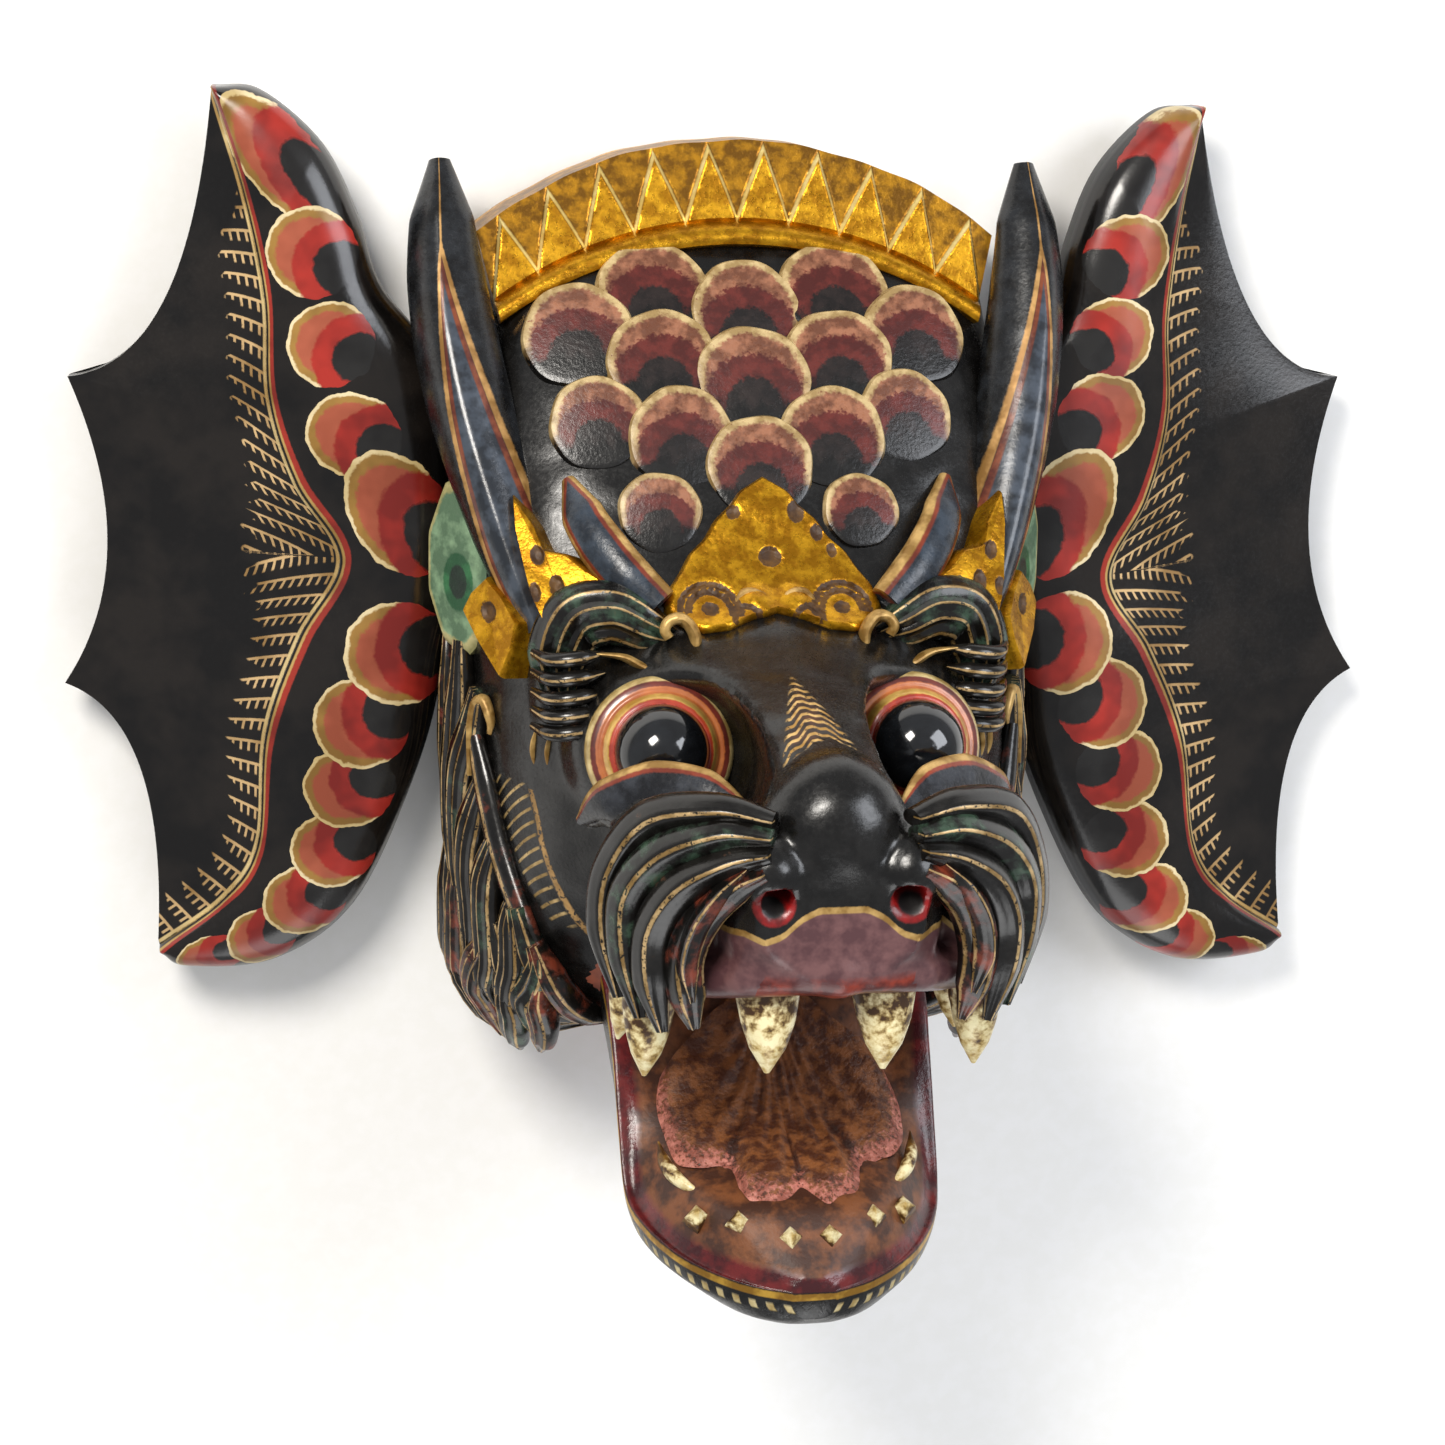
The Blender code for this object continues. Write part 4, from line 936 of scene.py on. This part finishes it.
combPaint = dict(hue=("#8a6a3c", "#c8a878"), metal=0.2, rough=0.4)
wings = dict(
    reach=145.0,
    height=336.0,
    armThick=22.0,
    skinThick=10.0,
    lean=2.2,  # degrees that each wing leans out
    sweep=6.0,  # degrees that each wing falls back
    innerLine=[(0.54, 1.0), (0.42, 0.993), (0.27, 0.934), (0.185, 0.854), (0.135, 0.776), (0.0, 0.68),
               (-0.02, 0.5), (0.02, 0.325), (0.124, 0.188), (0.28, 0.064), (0.49, 0.004), (0.727, 0.0),
               (0.79, 0.018)],  # shares of reach and height
    veinLine=[(0.541, 0.996), (0.47, 0.884), (0.427, 0.767), (0.428, 0.655), (0.37, 0.56), (0.265, 0.472),
              (0.38, 0.385), (0.478, 0.278), (0.515, 0.147), (0.613, 0.083), (0.792, 0.028)],
    tips=[(0.543, 0.99), (0.946, 0.685), (1.0, 0.338), (0.796, 0.034)],
    bows=(0.09, 0.105, 0.095),  # how deep each bay is cut, as a share of its width
    shells={  # out from the head, up, half sizes, turn in degrees, how far the black heart sits up
        "wing_left": [(54, 211, 31, 13.5, 52, -0.1), (44, 177, 17, 17, 0, -0.35),
                      (38.5, 143, 16.5, 16, 0, -0.35), (31.5, 109, 18, 16, 20, -0.35),
                      (16, 79, 26, 18, 60, -0.35), (95, -91, 14, 8, -15, 0.2),
                      (75, -84, 14, 11.5, -25, 0.25), (58, -70, 16, 14, -10, 0.25),
                      (46, -50.5, 16.5, 15, 0, 0.25), (39, -26, 17.5, 16, 0, 0.25),
                      (33, -1, 18.5, 18, 0, 0.2), (18, 25, 21, 20, 20, 0.1)],
        "wing_right": [(56, 214, 30, 13, 54, -0.1), (45, 184, 17, 15.5, 30, -0.35),
                       (39, 154, 16, 15, 0, -0.35), (34, 124, 18, 16.5, 15, -0.35),
                       (20, 88, 27, 18, 58, -0.35), (93, -95, 16, 8.5, -10, 0.2),
                       (68, -85, 15, 13, -25, 0.25), (54, -67, 17, 15, -10, 0.25),
                       (45, -42, 17.5, 15.5, 0, 0.25), (42, -14, 18, 16.5, 0, 0.25),
                       (35, 13, 18.5, 18, 0, 0.2), (19, 38, 20, 20, 20, 0.1)],
    },
    look=dict(
        ground=("#0c0a09", "#1b1714"), roughness=0.16, relief=0.05, worn=30.0,
        layers=[  # deep gloss under thin earth colours
            dict(field="shellRadius", edge=(1.0, 0.97), hue=("#86402a", "#a2543c"), rough=0.3, wobble=0.02),
            dict(field="shellRadius", edge=(0.74, 0.8), hue=("#74541f", "#9a7436"), rough=0.35, wobble=0.14,
                 within=[("shellRadius", 1.01, 0.98)]),
            dict(field="shellRadius", edge=(0.91, 0.94), hue=("#b09a68", "#dccba2"), rough=0.4, wobble=0.08,
                 within=[("shellRadius", 1.01, 0.99)]),
            dict(field="shellHeart", edge=(1.08, 1.02), hue=("#6f1812", "#a02a20"), rough=0.28,
                 wobble=0.12),
            dict(field="shellHeart", edge=(0.62, 0.57), hue=("#141211", "#232221"), rough=0.2, wobble=0.08),
            dict(field="comb", times=1 / 9.0, edge=(0.085, 0.045), **combPaint, wobble=0.03,
                 within=[("vein", 1.2, 1.8), ("reach", 0.0, -1.0)]),
            dict(field="hook", times=1 / 3.1, edge=(0.19, 0.12), **combPaint, wobble=0.05,
                 within=[("vein", 1.2, 1.8), ("reach", 0.0, -1.0), ("comb", 0.5, 0.42, 1 / 9.0)]),
            dict(field="vein", edge=(-4.4, -3.9), hue=("#6c1c14", "#962e22"), rough=0.25,
                 within=[("vein", -1.4, -1.9)]),
            dict(field="vein", edge=(-2.0, -1.6), hue=("#8a6a34", "#bf9c5c"), metal=0.3, rough=0.38,
                 within=[("vein", -0.6, -1.0)]),
            dict(field="vein", edge=(0.2, 0.6), hue=("#a88850", "#dcc48c"), metal=0.3, rough=0.38,
                 within=[("vein", 1.9, 1.5)]),
            dict(field="rear", edge=(-0.7, -0.4), hue=black, rough=0.35, wobble=0.1),
        ],
    ),
)
wingTips = np.array(wings["tips"])


def wingPlane(share):
    return np.array(share) * [wings["reach"], wings["height"]] - [0, 0.29 * wings["height"]]


def wingPlace(points, side):
    size = 1 + side * 0.012
    pivot = 0.16 * wings["height"]
    px, py = points[..., 0] * size, (points[..., 1] - pivot) * size
    lean, sweep = side * radians(wings["lean"]), radians(wings["sweep"])
    lx, ly = px * cos(lean) - py * sin(lean), px * sin(lean) + py * cos(lean) + pivot
    h = points[..., 2]
    rx, rz = lx * cos(sweep) + h * sin(sweep), -lx * sin(sweep) + h * cos(sweep)
    return np.stack([side * (111 + rx), ly - side * 7.0, 52 + rz], axis=-1)


rows = 361
s = np.linspace(0, 1, rows)
inner, vein = (wingPlane(spline(wings[line], rows)) for line in ("innerLine", "veinLine"))
armThick, skinThick = wings["armThick"], wings["skinThick"]
bay = np.minimum((s * 3).astype(int), 2)
t = (s * 3 - bay)[:, None]
chord = wingTips[bay + 1] - wingTips[bay]
sag = np.stack([chord[:, 1], -chord[:, 0]], axis=1)
depth = np.array(wings["bows"])[bay][:, None] * 4
sag = sag / np.linalg.norm(sag, axis=1, keepdims=True) * depth * t * (1 - t)
edge = wingPlane(wingTips[bay] + chord * t + sag)
taper = np.sqrt(np.clip(np.minimum(6 * s, 6 * (1 - s)), 0, 1))[:, None]
arm = skinThick + (armThick - skinThick) * (0.35 + 0.65 * taper)
veinWalk = np.concatenate([[0], np.cumsum(np.linalg.norm(np.diff(vein, axis=0), axis=1))])[:, None]

profile = spline([(0, 0.35), (0.04, 0.6), (0.12, 0.80), (0.28, 0.95), (0.5, 1.0), (0.72, 0.96),
                  (0.9, 0.86), (1.0, 0.80)], 34)
armShare, armRise = profile[:, 0][None], profile[:, 1][None]
armFlat = inner[:, None] + (vein - inner)[:, None] * armShare[..., None]
skinShare = np.concatenate([[0.0, 0.012, 0.03], np.linspace(0.045, 0.35, 22),
                            np.linspace(0.38, 1, 24)])[None]
skinFlat = vein[:, None] + (edge - vein)[:, None] * skinShare[..., None]
dip = (1 - np.clip(skinShare / 0.03, 0, 1))
fall = (1 - skinShare) ** 1.5
skinRise = (0.80 * arm - 2.2 * (1 - dip)) * fall + (skinThick - 0.6) * (1 - fall)
flat = np.concatenate([armFlat, skinFlat, edge[:, None], inner[:, None]], axis=1)
height = np.concatenate([arm * armRise, skinRise, 0 * s[:, None], 0 * s[:, None]], axis=1) - armThick
armWide, skinWide = (np.linalg.norm(gap, axis=1)[:, None] for gap in (vein - inner, edge - vein))
across = np.concatenate([-(1 - armShare) * armWide, skinShare * skinWide, skinWide, -armWide], axis=1)
walkField = veinWalk + 0 * across
cusp = veinWalk[int(np.argmin(vein[:, 0])), 0]
away = np.clip(across, 0, 60)
comb = walkField + np.where(walkField < cusp, 0.62, -0.1) * away - 0.004 * away ** 2
nearCusp = np.exp(-((walkField - cusp) / 26) ** 2)
reach = away - (13 + 3 * np.sin(walkField * 0.7) + 22 * nearCusp) * np.clip((walkField - 34) / 16, 0, 1)
rear = np.concatenate([0 * armShare + 0 * arm - 1, 0 * skinRise - 1, 0 * arm + 1, 0 * arm + 1], axis=1)
wingFields = dict(vein=across, comb=comb, reach=reach, hook=away, out=flat[..., 0], up=flat[..., 1])
wingFields = {name: np.pad(value, ((1, 1), (0, 0)), mode="edge") for name, value in wingFields.items()}
wingFields["rear"] = np.pad(rear, ((1, 1), (0, 0)), constant_values=1.0)


def endRings(solid):  # one more ring just inside each end, so the end faces can be painted apart
    first, last = (row * 0.96 + row.mean(axis=1, keepdims=True) * 0.04 for row in (solid[:1], solid[-1:]))
    return np.concatenate([first, solid, last])


for wingName, side in (("wing_left", -1), ("wing_right", 1)):
    solid = wingPlace(np.concatenate([flat, height[..., None]], axis=-1), side)
    part = gridPart(endRings(solid), **wingFields)
    if side < 0:
        part["faces"] = [f[::-1] for f in part["faces"]]
    paint = painted("black_lacquer_painted_with_shells_" + wingName, shells=wings["shells"][wingName],
                    **wings["look"])
    piece(wingName + "_board", [part], paint, nodes=[wingName], sharp=50)

# Floor, light and camera

studio = dict(
    paper=("#f2f1ee", "#f4f3f1"),
    sky="#f4f6fa",
    skyStrength=0.42,
    lamps=[  # name, place and width in m, watts, tint
        ("key", (-0.7, 0.9, 1.3), 0.5, 26, "#fffaf2"),
        ("fill", (1.0, 0.5, 1.2), 0.8, 14, "#f4f8ff"),
        ("low", (0.0, -1.2, 0.8), 0.8, 6, "#ffffff"),
    ],
)
view = dict(
    azimuth=0.1832,  # radians to the viewer's left of straight on
    elevation=0.2094,
    roll=0.0174,
    distance=1.40008,
    target=(0.0053479, -0.0077553, 0.0),
    lens=3527.97 / 1445 * 36,  # the photo's focal length in its pixels, on a 36 mm sensor
)
floorPaper = painted("matt_white_paper_sweep", studio["paper"], [], roughness=0.8, relief=0.0)
bpy.ops.mesh.primitive_plane_add(size=30)
floor = bpy.context.object
floor.name = "floor"
floor.data.materials.append(floorPaper)

world = bpy.data.worlds.new("studio")
bpy.context.scene.world = world
world.use_nodes = True
world.node_tree.nodes["Background"].inputs["Color"].default_value = colour(studio["sky"])
world.node_tree.nodes["Background"].inputs["Strength"].default_value = studio["skyStrength"]
for name, place, width, power, tint in studio["lamps"]:
    data = bpy.data.lights.new(name, "AREA")
    data.size = width
    data.energy = power
    data.color = colour(tint)[:3]
    made = bpy.data.objects.new(name, data)
    made.location = place
    made.rotation_euler = (Vector((0, 0, 0.1)) - Vector(place)).to_track_quat("-Z", "Y").to_euler()
    bpy.context.collection.objects.link(made)
print("floor and lamps")

azimuth, elevation, roll = view["azimuth"], view["elevation"], view["roll"]
back = np.array([-np.sin(azimuth) * np.cos(elevation), np.sin(elevation),
                 np.cos(azimuth) * np.cos(elevation)])
right = np.array([np.cos(azimuth), 0, np.sin(azimuth)])
upward = np.cross(back, right)
right, upward = np.cos(roll) * right + np.sin(roll) * upward, np.cos(roll) * upward - np.sin(roll) * right
cameraData = bpy.data.cameras.new("camera")
cameraData.sensor_width = 36
cameraData.lens = view["lens"]
camera = bpy.data.objects.new("camera", cameraData)
eyePoint = np.array(view["target"]) + shift + view["distance"] * back
camera.matrix_world = Matrix(np.vstack([np.column_stack([right, upward, back, eyePoint]),
                                        [0, 0, 0, 1]]).tolist())
bpy.context.collection.objects.link(camera)
bpy.context.scene.camera = camera
print("camera")
bpy.context.scene.view_settings.view_transform = "Standard"
